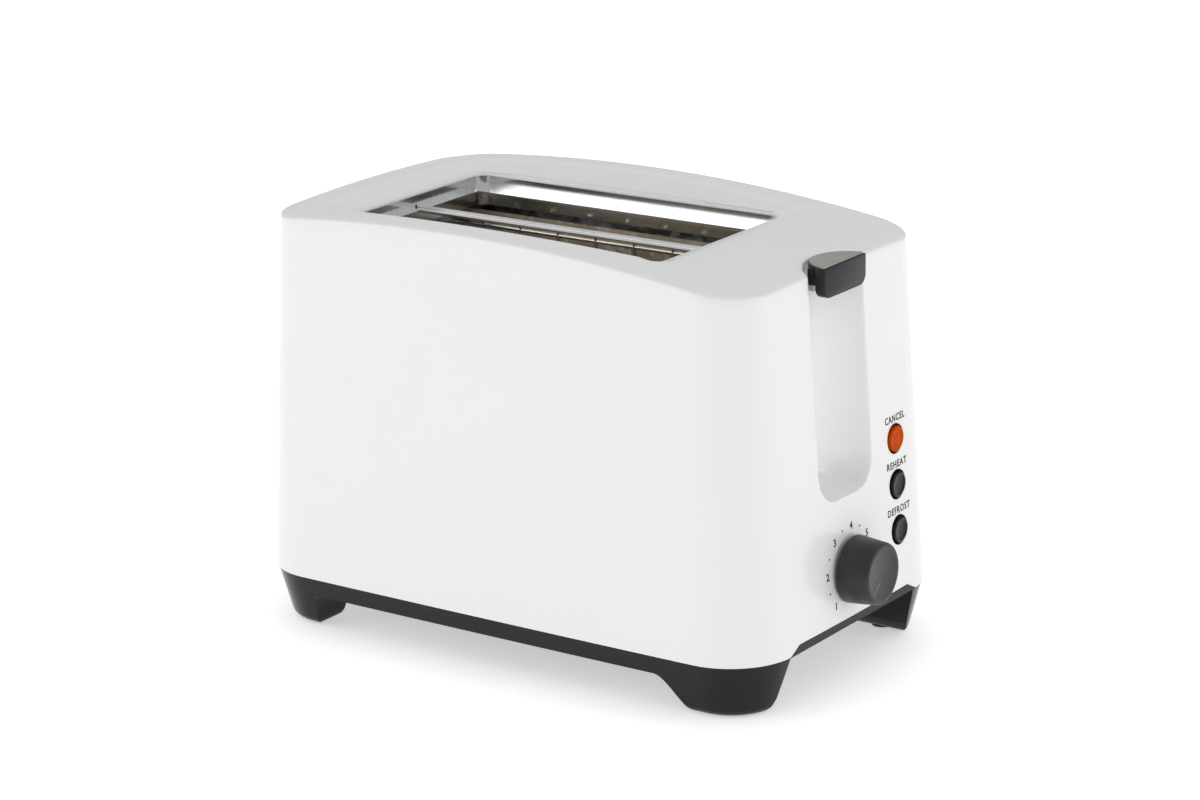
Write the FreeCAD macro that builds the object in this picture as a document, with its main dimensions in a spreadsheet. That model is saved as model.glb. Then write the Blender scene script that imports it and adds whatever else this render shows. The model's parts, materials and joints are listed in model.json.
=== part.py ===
"""Two slot pop up toaster.

Millimetres, +Z up, feet standing on z = 0.  X runs along the toaster with the
lever end at +X.  Every place is written from the middle of the shell; the
cell centre_shift then moves the whole toaster so that the middle of its
outline, knob included, lies over the origin.  The sheet named dims holds the
sizes that are chosen; the set named places holds what follows from them.
"""
import FreeCAD, Part
import os
import Sketcher
from FreeCAD import Placement, Rotation, Vector

os.makedirs("parts", exist_ok=True)
doc = FreeCAD.newDocument("toaster")
dims = doc.addObject("Spreadsheet::Sheet", "dims")

SIZES = {
    # shell: a tapered box with an arched top
    "centre_shift": 7.0,
    "shell_length": 260.0,
    "shell_width": 155.8,
    "edge_height": 24.0,
    "end_draft": 0.058,
    "side_draft": 0.040,
    "corner_low": 27.0,
    "corner_high": 22.1,
    "wall": 2.4,
    "top_peak": 186.8,
    "loft_spare": 5.2,
    "top_peak_back": 22.5,
    "top_arc": 878.0,
    "top_crown": 1235.0,
    "top_edge_round": 1.6,
    # sunk surround of the bread slots
    "lip_drop": 8.8,
    "lip_rear_margin": 37.0,
    "lip_front_margin": 64.0,
    "lip_side_margin": 29.9,
    "lip_corner": 7.0,
    "lip_skirt": 5.0,
    "recess_rise": 12.0,
    "recess_out_rear": 28.0,
    "recess_out_front": 40.0,
    "recess_out_side": 17.6,
    "recess_corner": 24.0,
    # lever channel in the front end
    "controls_side": 2.0,
    "channel_width": 41.0,
    "channel_clear": 5.0,
    "channel_corner": 13.0,
    "channel_depth": 19.6,
    "channel_scoop": 24.6,
    "arm_slot_width": 4.6,
    "arm_side": 15.0,
    # buttons and browning knob
    "button_bias": 3.5,
    "button_low": 52.7,
    "button_pitch": 19.65,
    "button_radius": 5.5,
    "button_proud": 0.8,
    "button_gap": 0.2,
    "button_travel": 1.2,
    "ring_wall": 0.7,
    "knob_height": 47.8,
    "knob_radius": 14.2,
    "knob_tip_radius": 12.95,
    "knob_proud": 15.5,
    "knob_shell_gap": 1.2,
    "knob_web": 6.0,
    "shaft_radius": 3.0,
    "fit_gap": 0.05,
    "clear_gap": 0.3,
    # base tray and feet
    "base_inset": 0.5,
    "base_taper": 8.0,
    "base_wall": 2.4,
    "floor_underside": 15.5,
    "floor_thick": 2.5,
    "base_rim": 7.0,
    "pad_thick": 0.8,
    "pad_radius": 4.5,
    "pad_inset_x": 23.0,
    "pad_inset_y": 17.9,
    "front_foot_length": 34.0,
    "front_foot_run": 13.0,
    "rear_foot_length": 33.0,
    "foot_width": 26.9,
    "end_foot_run": 9.0,
    "notch_margin": 6.0,
    "notch_rise": 6.0,
    "notch_depth": 12.0,
    "boss_inset_x": 70.0,
    "boss_inset_y": 15.9,
    "boss_radius": 5.0,
    "screw_radius": 1.6,
    "screw_head_radius": 3.2,
    "screw_head_height": 2.4,
    "screw_sink": 2.9,
    "post_rise": 3.0,
    "screw_length": 26.0,
    "boss_top": 62.0,
    "vent_width": 5.0,
    "vent_length": 70.0,
    "vent_pitch": 14.0,
    # steel slot frame and oven
    "sheet": 0.8,
    "plate_thick": 1.0,
    "frame_drop": 6.0,
    "frame_wall_rise": 5.0,
    "frame_skirt": 8.0,
    "slot_inner": 4.0,
    "slot_edge": 10.0,
    "slot_end_margin": 6.0,
    "oven_front_margin": 10.0,
    "oven_rear_margin": 6.0,
    "shield_gap": 10.0,
    "heater_gap": 6.0,
    "heater_below": 2.0,
    "heater_top_gap": 2.0,
    "ribbon_width": 1.8,
    "ribbon_thick": 0.3,
    "ribbon_pitch": 11.0,
    "ribbon_margin": 9.0,
    "guard_inner_gap": 3.6,
    "guard_outer_gap": 3.0,
    "guard_wire": 0.9,
    "guard_below": 4.0,
    "guard_pitch": 20.0,
    # carriage
    "rack_clear": 8.0,
    "rack_drop": 36.0,
    "rack_thick": 1.0,
    "rack_depth": 5.0,
    "rack_tooth_gap": 7.5,
    "rack_pitch": 22.0,
    "rack_end_gap": 5.0,
    "arm_half": 1.0,
    "cross_half": 6.0,
    "rod_radius": 2.5,
    "rod_ahead": 16.0,
    "rod_below": 14.0,
    "lug_thick": 2.0,
    "lug_half": 7.0,
    "lug_tab": 8.0,
    "sleeve_wall": 2.2,
    "sleeve_below": 9.0,
    "sleeve_above": 22.0,
    "yoke_ahead": 4.5,
    "yoke_thick": 1.5,
    "yoke_edge": 4.0,
    "window_half": 8.0,
    "yoke_over": 1.5,
    "spring_back": 3.0,
    "spring_radius": 3.2,
    "spring_wire": 0.45,
    "spring_pitch": 1.9,
    # lever
    "lever_width": 32.0,
    "lever_inset": 4.0,
    "lever_depth": 14.0,
    "lever_above": 2.45,
    "lever_height": 12.6,
    "lever_plate": 3.0,
    "lever_block": 6.5,
    "lever_corner": 4.0,
    "lever_pad_thick": 0.95,
    "lever_pad_sink": 0.4,
    "lever_pad_film": 0.05,
    "lever_pad_inset": 0.7,
    "lever_pad_gap": 0.1,
    "arm_thick": 2.0,
    "arm_drop": 5.1,
    "arm_depth": 5.0,
    # magnet latch, board and control
    "magnet_side": 34.0,
    "magnet_above": 2.0,
    "magnet_gap": 0.4,
    "magnet_back": 10.0,
    "keeper_rise": 8.0,
    "keeper_thick": 2.0,
    "keeper_half": 5.0,
    "core_half": 3.5,
    "core_foot": 2.0,
    "core_proud": 3.4,
    "coil_gap": 0.1,
    "bobbin_flange": 1.6,
    "coil_radius": 7.0,
    "board_ahead": 30.0,
    "board_thick": 1.6,
    "board_half": 34.0,
    "circuit_side_gap": 27.7,
    "board_rise_half": 12.0,
    "board_above": 8.0,
    "board_step": 76.0,
    "board_top": 100.0,
    "pot_radius": 8.0,
    "pot_depth": 7.0,
    # crumb tray
    "tray_side_gap": 11.0,
    "tray_above": 16.0,
    "tray_wall": 6.0,
    "tray_sheet": 0.8,
    "tray_front_gap": 8.0,
    "tray_gap": 1.0,
    "tray_plate": 10.0,
    # cord inlet
    "gland_radius": 6.0,
    "gland_bore": 3.3,
    "gland_flange": 8.0,
    "gland_inset": 34.0,
    "gland_edge": 4.0,
}
# what follows from those sizes: where pieces lie, and how far they reach
PLACES = {
    "loft_top": "dims.top_peak + dims.loft_spare",
    "lip_height": "dims.top_peak - dims.lip_drop",
    "lip_rear": "dims.shell_length / 2 - dims.lip_rear_margin",
    "lip_front": "dims.shell_length / 2 - dims.lip_front_margin",
    "lip_side": "dims.shell_width / 2 - dims.lip_side_margin",
    "channel_floor": "dims.shell_length / 2 - dims.channel_depth",
    "floor_top": "dims.floor_underside + dims.floor_thick",
    "frame_height": "places.lip_height - dims.frame_drop",
    "slot_width": "places.lip_side - dims.slot_edge - dims.slot_inner",
    "oven_front": "places.lip_front + dims.oven_front_margin",
    "oven_rear": "places.lip_rear + dims.oven_rear_margin",
    "oven_top": "places.frame_height - dims.frame_skirt",
    "board_side": "dims.slot_inner + places.slot_width + dims.heater_gap",
    "oven_side": "places.board_side + dims.shield_gap",
    "tray_low": "places.floor_top + dims.tray_above",
    "tray_half": "places.oven_side - dims.tray_side_gap",
    "tray_front": "places.oven_front - dims.tray_front_gap",
    "rear_plate_low": "places.tray_low + dims.tray_wall + dims.tray_gap",
    "rack_side": "dims.slot_inner + places.slot_width / 2",
    "rack_tooth": "places.slot_width / 2 - dims.rack_tooth_gap",
    "rack_height": "places.oven_top - dims.rack_drop",
    "travel": "places.rack_height - places.tray_low - dims.tray_wall - dims.rack_clear",
    "board_low": "places.rack_height - places.travel - dims.heater_below",
    "board_high": "places.oven_top - dims.heater_top_gap",
    "guard_in": "dims.slot_inner + dims.guard_inner_gap",
    "guard_out": "dims.slot_inner + places.slot_width - dims.guard_outer_gap",
    "guard_low": "places.rack_height - places.travel - dims.guard_below",
    "rod_place": "places.oven_front + dims.rod_ahead",
    "rod_low": "places.rack_height - places.travel - dims.rod_below",
    "sleeve_low": "places.rack_height - dims.sleeve_below",
    "sleeve_high": "places.rack_height + dims.sleeve_above",
    "sleeve_radius": "dims.rod_radius + dims.fit_gap + dims.sleeve_wall",
    "spring_side": "(places.sleeve_radius + places.rack_side - 1) / 2",
    "yoke_place": "places.rod_place + dims.yoke_ahead",
    "yoke_half": "dims.arm_side + dims.yoke_edge",
    "lever_front": "dims.shell_length / 2 - dims.lever_inset",
    "lever_reach": "places.lever_front + dims.top_peak_back",
    "arch_drop": "dims.top_arc - sqrt(dims.top_arc * dims.top_arc - places.lever_reach * places.lever_reach)",
    "lever_top": "dims.top_peak - places.arch_drop + dims.lever_above",
    "arm_high": "places.lever_top - dims.arm_drop",
    "arm_low": "places.arm_high - dims.arm_depth",
    "yoke_high": "places.arm_high + dims.yoke_over",
    "channel_bottom": "places.lever_top - dims.lever_height - places.travel - dims.channel_clear",
    "channel_edge": "dims.channel_width / 2 - dims.controls_side",
    "button_side": "(places.channel_edge + dims.shell_width / 2 - dims.corner_low) / 2 + dims.button_bias",
    "magnet_place": "places.yoke_place - dims.magnet_back",
    "magnet_low": "places.floor_top + dims.magnet_above",
    "keeper_start": "max(places.rack_side + dims.arm_half; places.yoke_half)",
    "keeper_low": "places.rack_height + dims.keeper_rise",
    "circuit_place": "places.oven_front + dims.board_ahead",
    "circuit_low": "places.floor_top + dims.board_above",
    "screw_seat": "dims.floor_underside + dims.screw_sink",
    "post_top": "places.floor_top + dims.post_rise",
    "circuit_side": "dims.shell_width / 2 - dims.circuit_side_gap",
    "front_foot_start": "dims.shell_length / 2 - dims.front_foot_length",
    "rear_foot_start": "dims.shell_length / 2 - dims.rear_foot_length",
    "end_foot_start": "dims.shell_width / 2 - dims.foot_width",
    "notch_half": "places.end_foot_start - dims.notch_margin",
    "gland_rear": "dims.shell_length / 2 - dims.gland_inset",
    "gland_side": "places.end_foot_start - dims.end_foot_run - dims.gland_flange - dims.gland_edge",
}
for row, (name, size) in enumerate(SIZES.items(), start=1):
    dims.set(f"A{row}", name.replace("_", " "))
    dims.set(f"B{row}", str(size))
    dims.setAlias(f"B{row}", name)
doc.recompute()
places = doc.addObject("App::VarSet", "places")
for name in PLACES:
    places.addProperty("App::PropertyFloat", name, "Places")
for name, text in PLACES.items():
    places.setExpression(name, text)
doc.recompute()

XY, XZ, YZ = "XY_Plane", "XZ_Plane", "YZ_Plane"
nodes = []


# ---------------------------------------------------------------- helpers
def size(text):
    """The present value of an expression on the sheet."""
    return float(dims.evalExpression(text))


def bind(item, **expressions):
    """Bind properties of an object to expressions."""
    for prop, text in expressions.items():
        item.setExpression(prop, text)
    return item


def at(item, x="0", y="0", z="0"):
    """Place an object, given from the middle of the shell."""
    item.setExpression("Placement.Base.x", f"({x}) - dims.centre_shift")
    item.setExpression("Placement.Base.y", y)
    item.setExpression("Placement.Base.z", z)
    return item


def node(item, label):
    """Keep an object as a sub-part under its own name."""
    item.Label = label
    nodes.append(item)
    return item


def box(x, y, z, name="block"):
    """A box between two expressions along each axis."""
    item = doc.addObject("Part::Box", name)
    bind(item, Length=f"({x[1]}) - ({x[0]})", Width=f"({y[1]}) - ({y[0]})", Height=f"({z[1]}) - ({z[0]})")
    return at(item, x[0], y[0], z[0])


TURN = {"x": Rotation(Vector(0, 1, 0), 90), "y": Rotation(Vector(1, 0, 0), -90), "z": Rotation()}


def rod(axis, start, radius, length, name="round", tip_radius=None):
    """A cylinder, or a cone when tip_radius is given, running along + axis from start."""
    if tip_radius is None:
        item = doc.addObject("Part::Cylinder", name)
        bind(item, Radius=radius, Height=length)
    else:
        item = doc.addObject("Part::Cone", name)
        bind(item, Radius1=radius, Radius2=tip_radius, Height=length)
    item.Placement = Placement(Vector(), TURN[axis])
    return at(item, *start)


def tube(axis, start, radius, bore, length, name="tube"):
    """A cylinder with a bore right through it."""
    return cut(rod(axis, start, radius, length), [rod(axis, start, bore, length)], name)


def fuse(items, name="joined"):
    """One solid from touching solids."""
    item = doc.addObject("Part::MultiFuse", name)
    item.Shapes = items
    item.Refine = True
    return item


def cut(base, tools, name="cut"):
    """The base less every tool."""
    item = doc.addObject("Part::Cut", name)
    item.Base = base
    item.Tool = tools[0] if len(tools) == 1 else fuse(tools, name + "_tools")
    return item


def common(base, tool, name="overlap"):
    """What two solids share."""
    item = doc.addObject("Part::Common", name)
    item.Base, item.Tool = base, tool
    return item


def group(items, name="group"):
    """Separate solids kept in one sub-part."""
    item = doc.addObject("Part::Compound", name)
    item.Links = items
    return item


def new_body(name):
    """A PartDesign body placed from the middle of the shell."""
    return at(doc.addObject("PartDesign::Body", name))


def new_sketch(body, role, offset="0"):
    """A sketch on one of the body's own planes, moved along its normal."""
    sketch = body.newObject("Sketcher::SketchObject", body.Name + "_sketch")
    plane = next(item for item in body.Origin.OriginFeatures if item.Role == role)
    sketch.AttachmentSupport = [(plane, "")]
    sketch.MapMode = "FlatFace"
    sketch.setExpression("AttachmentOffset.Base.z", offset)
    return sketch


def hold(sketch, kind, *where_and_text):
    """Add a dimension to a sketch and bind it to an expression."""
    *where, text = where_and_text
    index = sketch.addConstraint(Sketcher.Constraint(kind, *where, size(text)))
    sketch.setExpression(f"Constraints[{index}]", text)


def round_rectangle(sketch, rear, front, side, corner):
    """A rectangle from -rear to +front and -side to +side with round corners."""
    back, ahead, half, r = (size(text) for text in (rear, front, side, corner))
    ring = [(ahead, -half), (ahead, half), (-back, half), (-back, -half)]
    steps = [(0, 1), (-1, 0), (0, -1), (1, 0)]
    lines, arcs = [], []
    for index, (corner_x, corner_y) in enumerate(ring):
        dx, dy = steps[index]
        next_x, next_y = ring[(index + 1) % 4]
        start = Vector(corner_x + dx * r, corner_y + dy * r, 0)
        end = Vector(next_x - dx * r, next_y - dy * r, 0)
        lines.append(sketch.addGeometry(Part.LineSegment(start, end)))
        turn_x, turn_y = steps[(index + 1) % 4]
        middle = end + Vector(turn_x * r, turn_y * r, 0)
        circle = Part.Circle(middle, Vector(0, 0, 1), r)
        first = circle.parameter(end)
        arcs.append(sketch.addGeometry(Part.ArcOfCircle(circle, first, first + 1.5707963)))
    for index in range(4):
        sketch.addConstraint(Sketcher.Constraint("Tangent", lines[index], 2, arcs[index], 1))
        sketch.addConstraint(Sketcher.Constraint("Tangent", arcs[index], 2, lines[(index + 1) % 4], 1))
        straight = "Vertical" if index % 2 == 0 else "Horizontal"
        sketch.addConstraint(Sketcher.Constraint(straight, lines[index]))
    for arc in arcs[1:]:
        sketch.addConstraint(Sketcher.Constraint("Equal", arcs[0], arc))
    hold(sketch, "Radius", arcs[0], corner)
    hold(sketch, "DistanceX", -1, 1, lines[0], 1, front)
    hold(sketch, "DistanceY", -1, 1, lines[1], 1, side)
    hold(sketch, "DistanceX", lines[2], 1, -1, 1, rear)
    hold(sketch, "DistanceY", lines[3], 1, -1, 1, side)


def outline(sketch, points):
    """A closed outline of straight sides, each point bound to two expressions."""
    spots = [Vector(size(across), size(up), 0) for across, up in points]
    lines = [sketch.addGeometry(Part.LineSegment(spots[i],
                                                 spots[(i + 1) % len(spots)])) for i in range(len(spots))]
    for index, line in enumerate(lines):
        sketch.addConstraint(Sketcher.Constraint("Coincident", line, 2, lines[(index + 1) % len(lines)], 1))
    for line, (across, up) in zip(lines, points):
        hold(sketch, "DistanceX", -1, 1, line, 1, across)
        hold(sketch, "DistanceY", -1, 1, line, 1, up)


def loft(name, low, high):
    """A tapered block between two round rectangles: (height, rear, front, side, corner)."""
    body = new_body(name)
    sections = []
    for height, rear, front, side, corner in (low, high):
        sketch = new_sketch(body, XY, height)
        round_rectangle(sketch, rear, front, side, corner)
        sections.append(sketch)
    feature = body.newObject("PartDesign::AdditiveLoft", name + "_loft")
    feature.Profile = sections[0]
    feature.Sections = sections[1:]
    feature.Ruled = True
    return body


def prism(name, role, points, half):
    """A straight sided outline padded equally to both sides of a plane."""
    body = new_body(name)
    sketch = new_sketch(body, role)
    outline(sketch, points)
    pad = body.newObject("PartDesign::Pad", name + "_pad")
    pad.Profile = sketch
    pad.SideType = "Symmetric"
    bind(pad, Length=f"2 * ({half})")
    return body


def end_face(height):
    """How far the outer end face lies from the middle at a height."""
    return f"dims.shell_length / 2 - dims.end_draft * (({height}) - dims.edge_height)"


def side_face(height):
    """How far the outer long face lies from the middle at a height."""
    return f"dims.shell_width / 2 - dims.side_draft * (({height}) - dims.edge_height)"


# ------------------------------------------------------------------ shell
def shell_block(name, gap, start):
    """The shell's outer form, made smaller by a gap, from a start height up."""
    low = (start, f"{end_face(start)} - {gap}", f"{end_face(start)} - {gap}",
           f"{side_face(start)} - {gap}", f"dims.corner_low - {gap}")
    top = "places.loft_top"
    high = (top, f"{end_face(top)} - {gap}", f"{end_face(top)} - {gap}",
            f"{side_face(top)} - {gap}", f"dims.corner_high - {gap}")
    body = loft(name, low, high)
    sketch = new_sketch(body, XZ)
    reach, above = size("dims.shell_length"), size("places.loft_top + 30")
    arc_radius, peak = size(f"dims.top_arc - {gap}"), size(f"dims.top_peak - {gap}")
    centre = Vector(-size("dims.top_peak_back"), peak - arc_radius, 0)
    drop = [peak - arc_radius + (arc_radius ** 2 - (side * reach - centre.x) ** 2) ** 0.5 for side in (-1,
                                                                                                       1)]
    ends = [Vector(-reach, drop[0], 0), Vector(reach, drop[1], 0)]
    circle = Part.Circle(centre, Vector(0, 0, 1), arc_radius)
    arch = sketch.addGeometry(Part.ArcOfCircle(circle, circle.parameter(ends[1]),
                                               circle.parameter(ends[0])))
    corners = [ends[1], Vector(reach, above, 0), Vector(-reach, above, 0), ends[0]]
    sides = [sketch.addGeometry(Part.LineSegment(corners[i], corners[i + 1])) for i in range(3)]
    sketch.addConstraint(Sketcher.Constraint("Coincident", arch, 1, sides[0], 1))
    sketch.addConstraint(Sketcher.Constraint("Coincident", sides[0], 2, sides[1], 1))
    sketch.addConstraint(Sketcher.Constraint("Coincident", sides[1], 2, sides[2], 1))
    sketch.addConstraint(Sketcher.Constraint("Coincident", sides[2], 2, arch, 2))
    for side, straight in zip(sides, ("Vertical", "Horizontal", "Vertical")):
        sketch.addConstraint(Sketcher.Constraint(straight, side))
    hold(sketch, "Radius", arch, f"dims.top_arc - {gap}")
    hold(sketch, "DistanceX", arch, 3, -1, 1, "dims.top_peak_back")
    hold(sketch, "DistanceY", arch, 3, -1, 1, "dims.top_arc - dims.top_peak")
    hold(sketch, "DistanceX", -1, 1, sides[0], 1, "dims.shell_length")
    hold(sketch, "DistanceX", sides[2], 1, -1, 1, "dims.shell_length")
    hold(sketch, "DistanceY", -1, 1, sides[0], 2, "places.loft_top + 30")
    axis_height = size("dims.top_peak - dims.top_crown")
    axis = sketch.addGeometry(Part.LineSegment(Vector(-reach, axis_height, 0),
                                               Vector(reach, axis_height, 0)), True)
    sketch.addConstraint(Sketcher.Constraint("Horizontal", axis))
    hold(sketch, "DistanceX", axis, 1, -1, 1, "dims.shell_length")
    hold(sketch, "DistanceX", -1, 1, axis, 2, "dims.shell_length")
    hold(sketch, "DistanceY", axis, 1, -1, 1, "dims.top_crown - dims.top_peak")
    groove = body.newObject("PartDesign::Groove", name + "_arch")
    groove.Profile = sketch
    groove.ReferenceAxis = (sketch, ["Axis0"])
    groove.Midplane = True
    groove.Angle = 12
    return body


def recess_block(name, grow):
    """The sunk surround above the lip, grown by a wall for its underside."""
    low = (f"places.lip_height - {grow}", f"places.lip_rear + {grow}", f"places.lip_front + {grow}",
           f"places.lip_side + {grow}", f"dims.lip_corner + {grow}")
    high = (f"places.lip_height - {grow} + dims.recess_rise",
            f"places.lip_rear + {grow} + dims.recess_out_rear",
            f"places.lip_front + {grow} + dims.recess_out_front",
            f"places.lip_side + {grow} + dims.recess_out_side", f"dims.recess_corner + {grow}")
    return loft(name, low, high)


def lip_block(name, grow, low, high):
    """A straight block on the outline of the slot opening."""
    section = [f"places.lip_rear + {grow}", f"places.lip_front + {grow}", f"places.lip_side + {grow}",
               f"dims.lip_corner + {grow}"]
    return loft(name, (low, *section), (high, *section))


def channel_block(name, grow):
    """The scooped lever channel, grown by a wall for its back."""
    half = f"(dims.channel_width / 2 + {grow})"
    bottom = f"places.channel_bottom - {grow}"
    body = new_body(name + "_front")
    sketch = new_sketch(body, YZ, "places.channel_floor - 20")
    left = f"-dims.controls_side - {half}"
    right = f"-dims.controls_side + {half}"
    outline(sketch, [(left, bottom), (right, bottom), (right, "places.loft_top + 10"),
                     (left, "places.loft_top + 10")])
    pad = body.newObject("PartDesign::Pad", name + "_pad")
    pad.Profile = sketch
    bind(pad, Length="dims.shell_length / 2 + 30 - (places.channel_floor - 20)")
    doc.recompute()
    edges = []
    for number, edge in enumerate(body.Shape.Edges, start=1):
        middle = edge.CenterOfMass
        if abs(middle.z - size(bottom)) < 0.01 and abs(edge.Vertexes[0].Y - edge.Vertexes[-1].Y) < 0.01:
            edges.append(f"Edge{number}")
    fillet = body.newObject("PartDesign::Fillet", name + "_corners")
    fillet.Base = (pad, edges)
    bind(fillet, Radius=f"dims.channel_corner + {grow}")
    scoop = rod("z", (f"places.channel_floor + dims.channel_scoop", "-dims.controls_side", f"{bottom} - 1"),
                f"dims.channel_scoop + {grow}", f"places.loft_top + 12 - ({bottom})")
    return common(body, scoop, name)


def notch_block(name, reach, half_gap, height):
    """The block between the end feet in the shell's lower edge, with slanted ends."""
    half = f"(places.notch_half + {half_gap})"
    low, high = "dims.edge_height - 1", f"dims.edge_height + {height}"
    body = prism(name, YZ, [(f"-{half} - 1", low), (f"{half} + 1", low), (f"{half} - 3", high),
                            (f"-{half} + 3", high)],
                 reach)
    return body


def bosses(low, high, radius, name):
    """One upright round in each corner where the shell is screwed to the base."""
    items = []
    for side_x in ("-1", "1"):
        for side_y in ("-1", "1"):
            spot = (f"{side_x} * (dims.shell_length / 2 - dims.boss_inset_x)",
                    f"{side_y} * (dims.shell_width / 2 - dims.boss_inset_y)", low)
            items.append(rod("z", spot, radius, f"({high}) - ({low})", name))
    return items


def button_height(index):
    """The height of a button's axis, counted from the lowest."""
    return f"dims.button_low + {index} * dims.button_pitch"


def outer_shell():
    outer = shell_block("shell_outer", "0", "dims.edge_height")
    doc.recompute()
    top_edges = []
    for number, edge in enumerate(outer.Shape.Edges, start=1):
        low_side = min(vertex.Z for vertex in edge.Vertexes) > size("dims.top_peak - 25")
        if low_side:
            top_edges.append(f"Edge{number}")
    arched = outer.Tip
    rounding = outer.newObject("PartDesign::Fillet", "shell_top_edge")
    rounding.Base = (arched, top_edges)
    bind(rounding, Radius="dims.top_edge_round")
    inner = shell_block("shell_inner", "dims.wall", "dims.edge_height - 2")
    skirt = "places.lip_height - dims.lip_skirt"
    inside = cut(inner, [recess_block("recess_jacket", "dims.wall"),
                         lip_block("lip_jacket", "dims.wall", skirt, "places.lip_height"),
                         channel_block("channel_jacket", "dims.wall")], "shell_inside")
    tools = [inside, recess_block("recess", "0"),
             lip_block("lip_hole", "0", f"{skirt} - 1", "places.lip_height + 1"),
             channel_block("channel", "0")]
    tools.append(box(("places.channel_floor - 6", "places.channel_floor + 12"),
                     ("-dims.arm_side - dims.arm_slot_width / 2",
                      "-dims.arm_side + dims.arm_slot_width / 2"),
                     ("places.channel_bottom + 4", "places.arm_high + 3"), "arm_slot"))
    for index in range(3):
        tools.append(rod("x", ("dims.shell_length / 2 - 20", "places.button_side", button_height(index)),
                         "dims.button_radius + 1.5 * dims.button_gap + dims.ring_wall", "30"))
    tools.append(rod("x", ("dims.shell_length / 2 - 20", "-dims.controls_side", "dims.knob_height"),
                     "dims.shaft_radius + 1", "30"))
    tools.append(notch_block("shell_notch", "dims.shell_length", "0", "dims.notch_rise"))
    tools.append(box(("-dims.shell_length / 2 - 5", "-dims.shell_length / 2 + 10"),
                     ("-places.tray_half - dims.tray_gap", "places.tray_half + dims.tray_gap"),
                     ("places.tray_low - dims.tray_gap",
                      "places.tray_low + dims.tray_plate + dims.tray_gap"), "tray_mouth"))
    hollow = cut(outer, tools, "shell_hollow")
    posts = bosses("places.post_top + dims.clear_gap", "dims.boss_top", "dims.boss_radius", "shell_post")
    ribs = []
    near, far = "dims.shell_width / 2 - dims.boss_inset_y", f"{side_face('dims.boss_top')} - dims.wall / 2"
    for side in (-1, 1):
        span = (near, far) if side > 0 else (f"-({far})", f"-({near})")
        for end in ("-1", "1"):
            middle = f"{end} * (dims.shell_length / 2 - dims.boss_inset_x)"
            ribs.append(box((f"{middle} - 1", f"{middle} + 1"), span,
                            ("dims.edge_height + 9", "dims.boss_top"), "post_rib"))
    solid = fuse([hollow, *posts, *ribs], "shell_with_posts")
    pilots = bosses("dims.floor_underside", "dims.boss_top - 12", "dims.screw_radius - 0.1", "pilot")
    node(cut(solid, pilots, "shell"), "outer_shell")


# ------------------------------------------------------------------- base
def base_taper_block(name, gap, low, high):
    """The base's outer form below the shell's edge, made smaller by a gap."""
    def section(height):
        slope = "dims.base_taper / dims.edge_height"
        inset = f"dims.base_inset + {gap} + {slope} * (dims.edge_height - ({height}))"
        end, side = f"dims.shell_length / 2 - ({inset})", f"dims.shell_width / 2 - ({inset})"
        return (height, end, end, side, f"dims.corner_low - ({inset})")
    return loft(name, section(low), section(high))


def side_tunnel(name, grow):
    """The space between the front and rear feet, seen from the long side."""
    top, low = f"dims.floor_underside + {grow}", "-3"
    rear = f"-places.rear_foot_start - {grow}"
    front = f"places.front_foot_start + {grow}"
    run = "dims.front_foot_run"
    return prism(name, XZ, [(rear, low), (front, low), (front, "1.5"), (f"{front} - 0.30 * {run}", "5"),
                            (f"{front} - 0.62 * {run}", f"{top} - 4"), (f"{front} - {run}", f"{top} - 0.6"),
                            (f"{front} - 1.5 * {run}", top), (rear, top)], "dims.shell_width")


def end_tunnel(name, grow):
    """The space between the left and right feet, seen from an end."""
    top, low = f"dims.floor_underside + {grow}", "-3"
    wide = f"(places.end_foot_start + {grow})"
    narrow = f"(places.end_foot_start - dims.end_foot_run + {grow})"
    return prism(name, YZ, [(f"-{wide}", low), (wide, low), (narrow, top), (f"-{narrow}", top)],
                 "dims.shell_length")


def end_notch(name, end, grow):
    """The arch that lifts the base's edge between the feet at one end."""
    top = f"dims.edge_height + {grow}"
    wide, narrow = f"(places.notch_half + {grow})", f"(places.notch_half - 3 + {grow})"
    body = new_body(name)
    inner = f"dims.shell_length / 2 - dims.base_inset - dims.notch_depth - {grow}"
    sketch = new_sketch(body, YZ, inner if end > 0 else f"-({inner}) - 40")
    outline(sketch, [(f"-{wide}", "5"), (wide, "5"), (narrow, top), (f"-{narrow}", top)])
    pad = body.newObject("PartDesign::Pad", name + "_pad")
    pad.Profile = sketch
    pad.Length = 40
    return body


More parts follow.
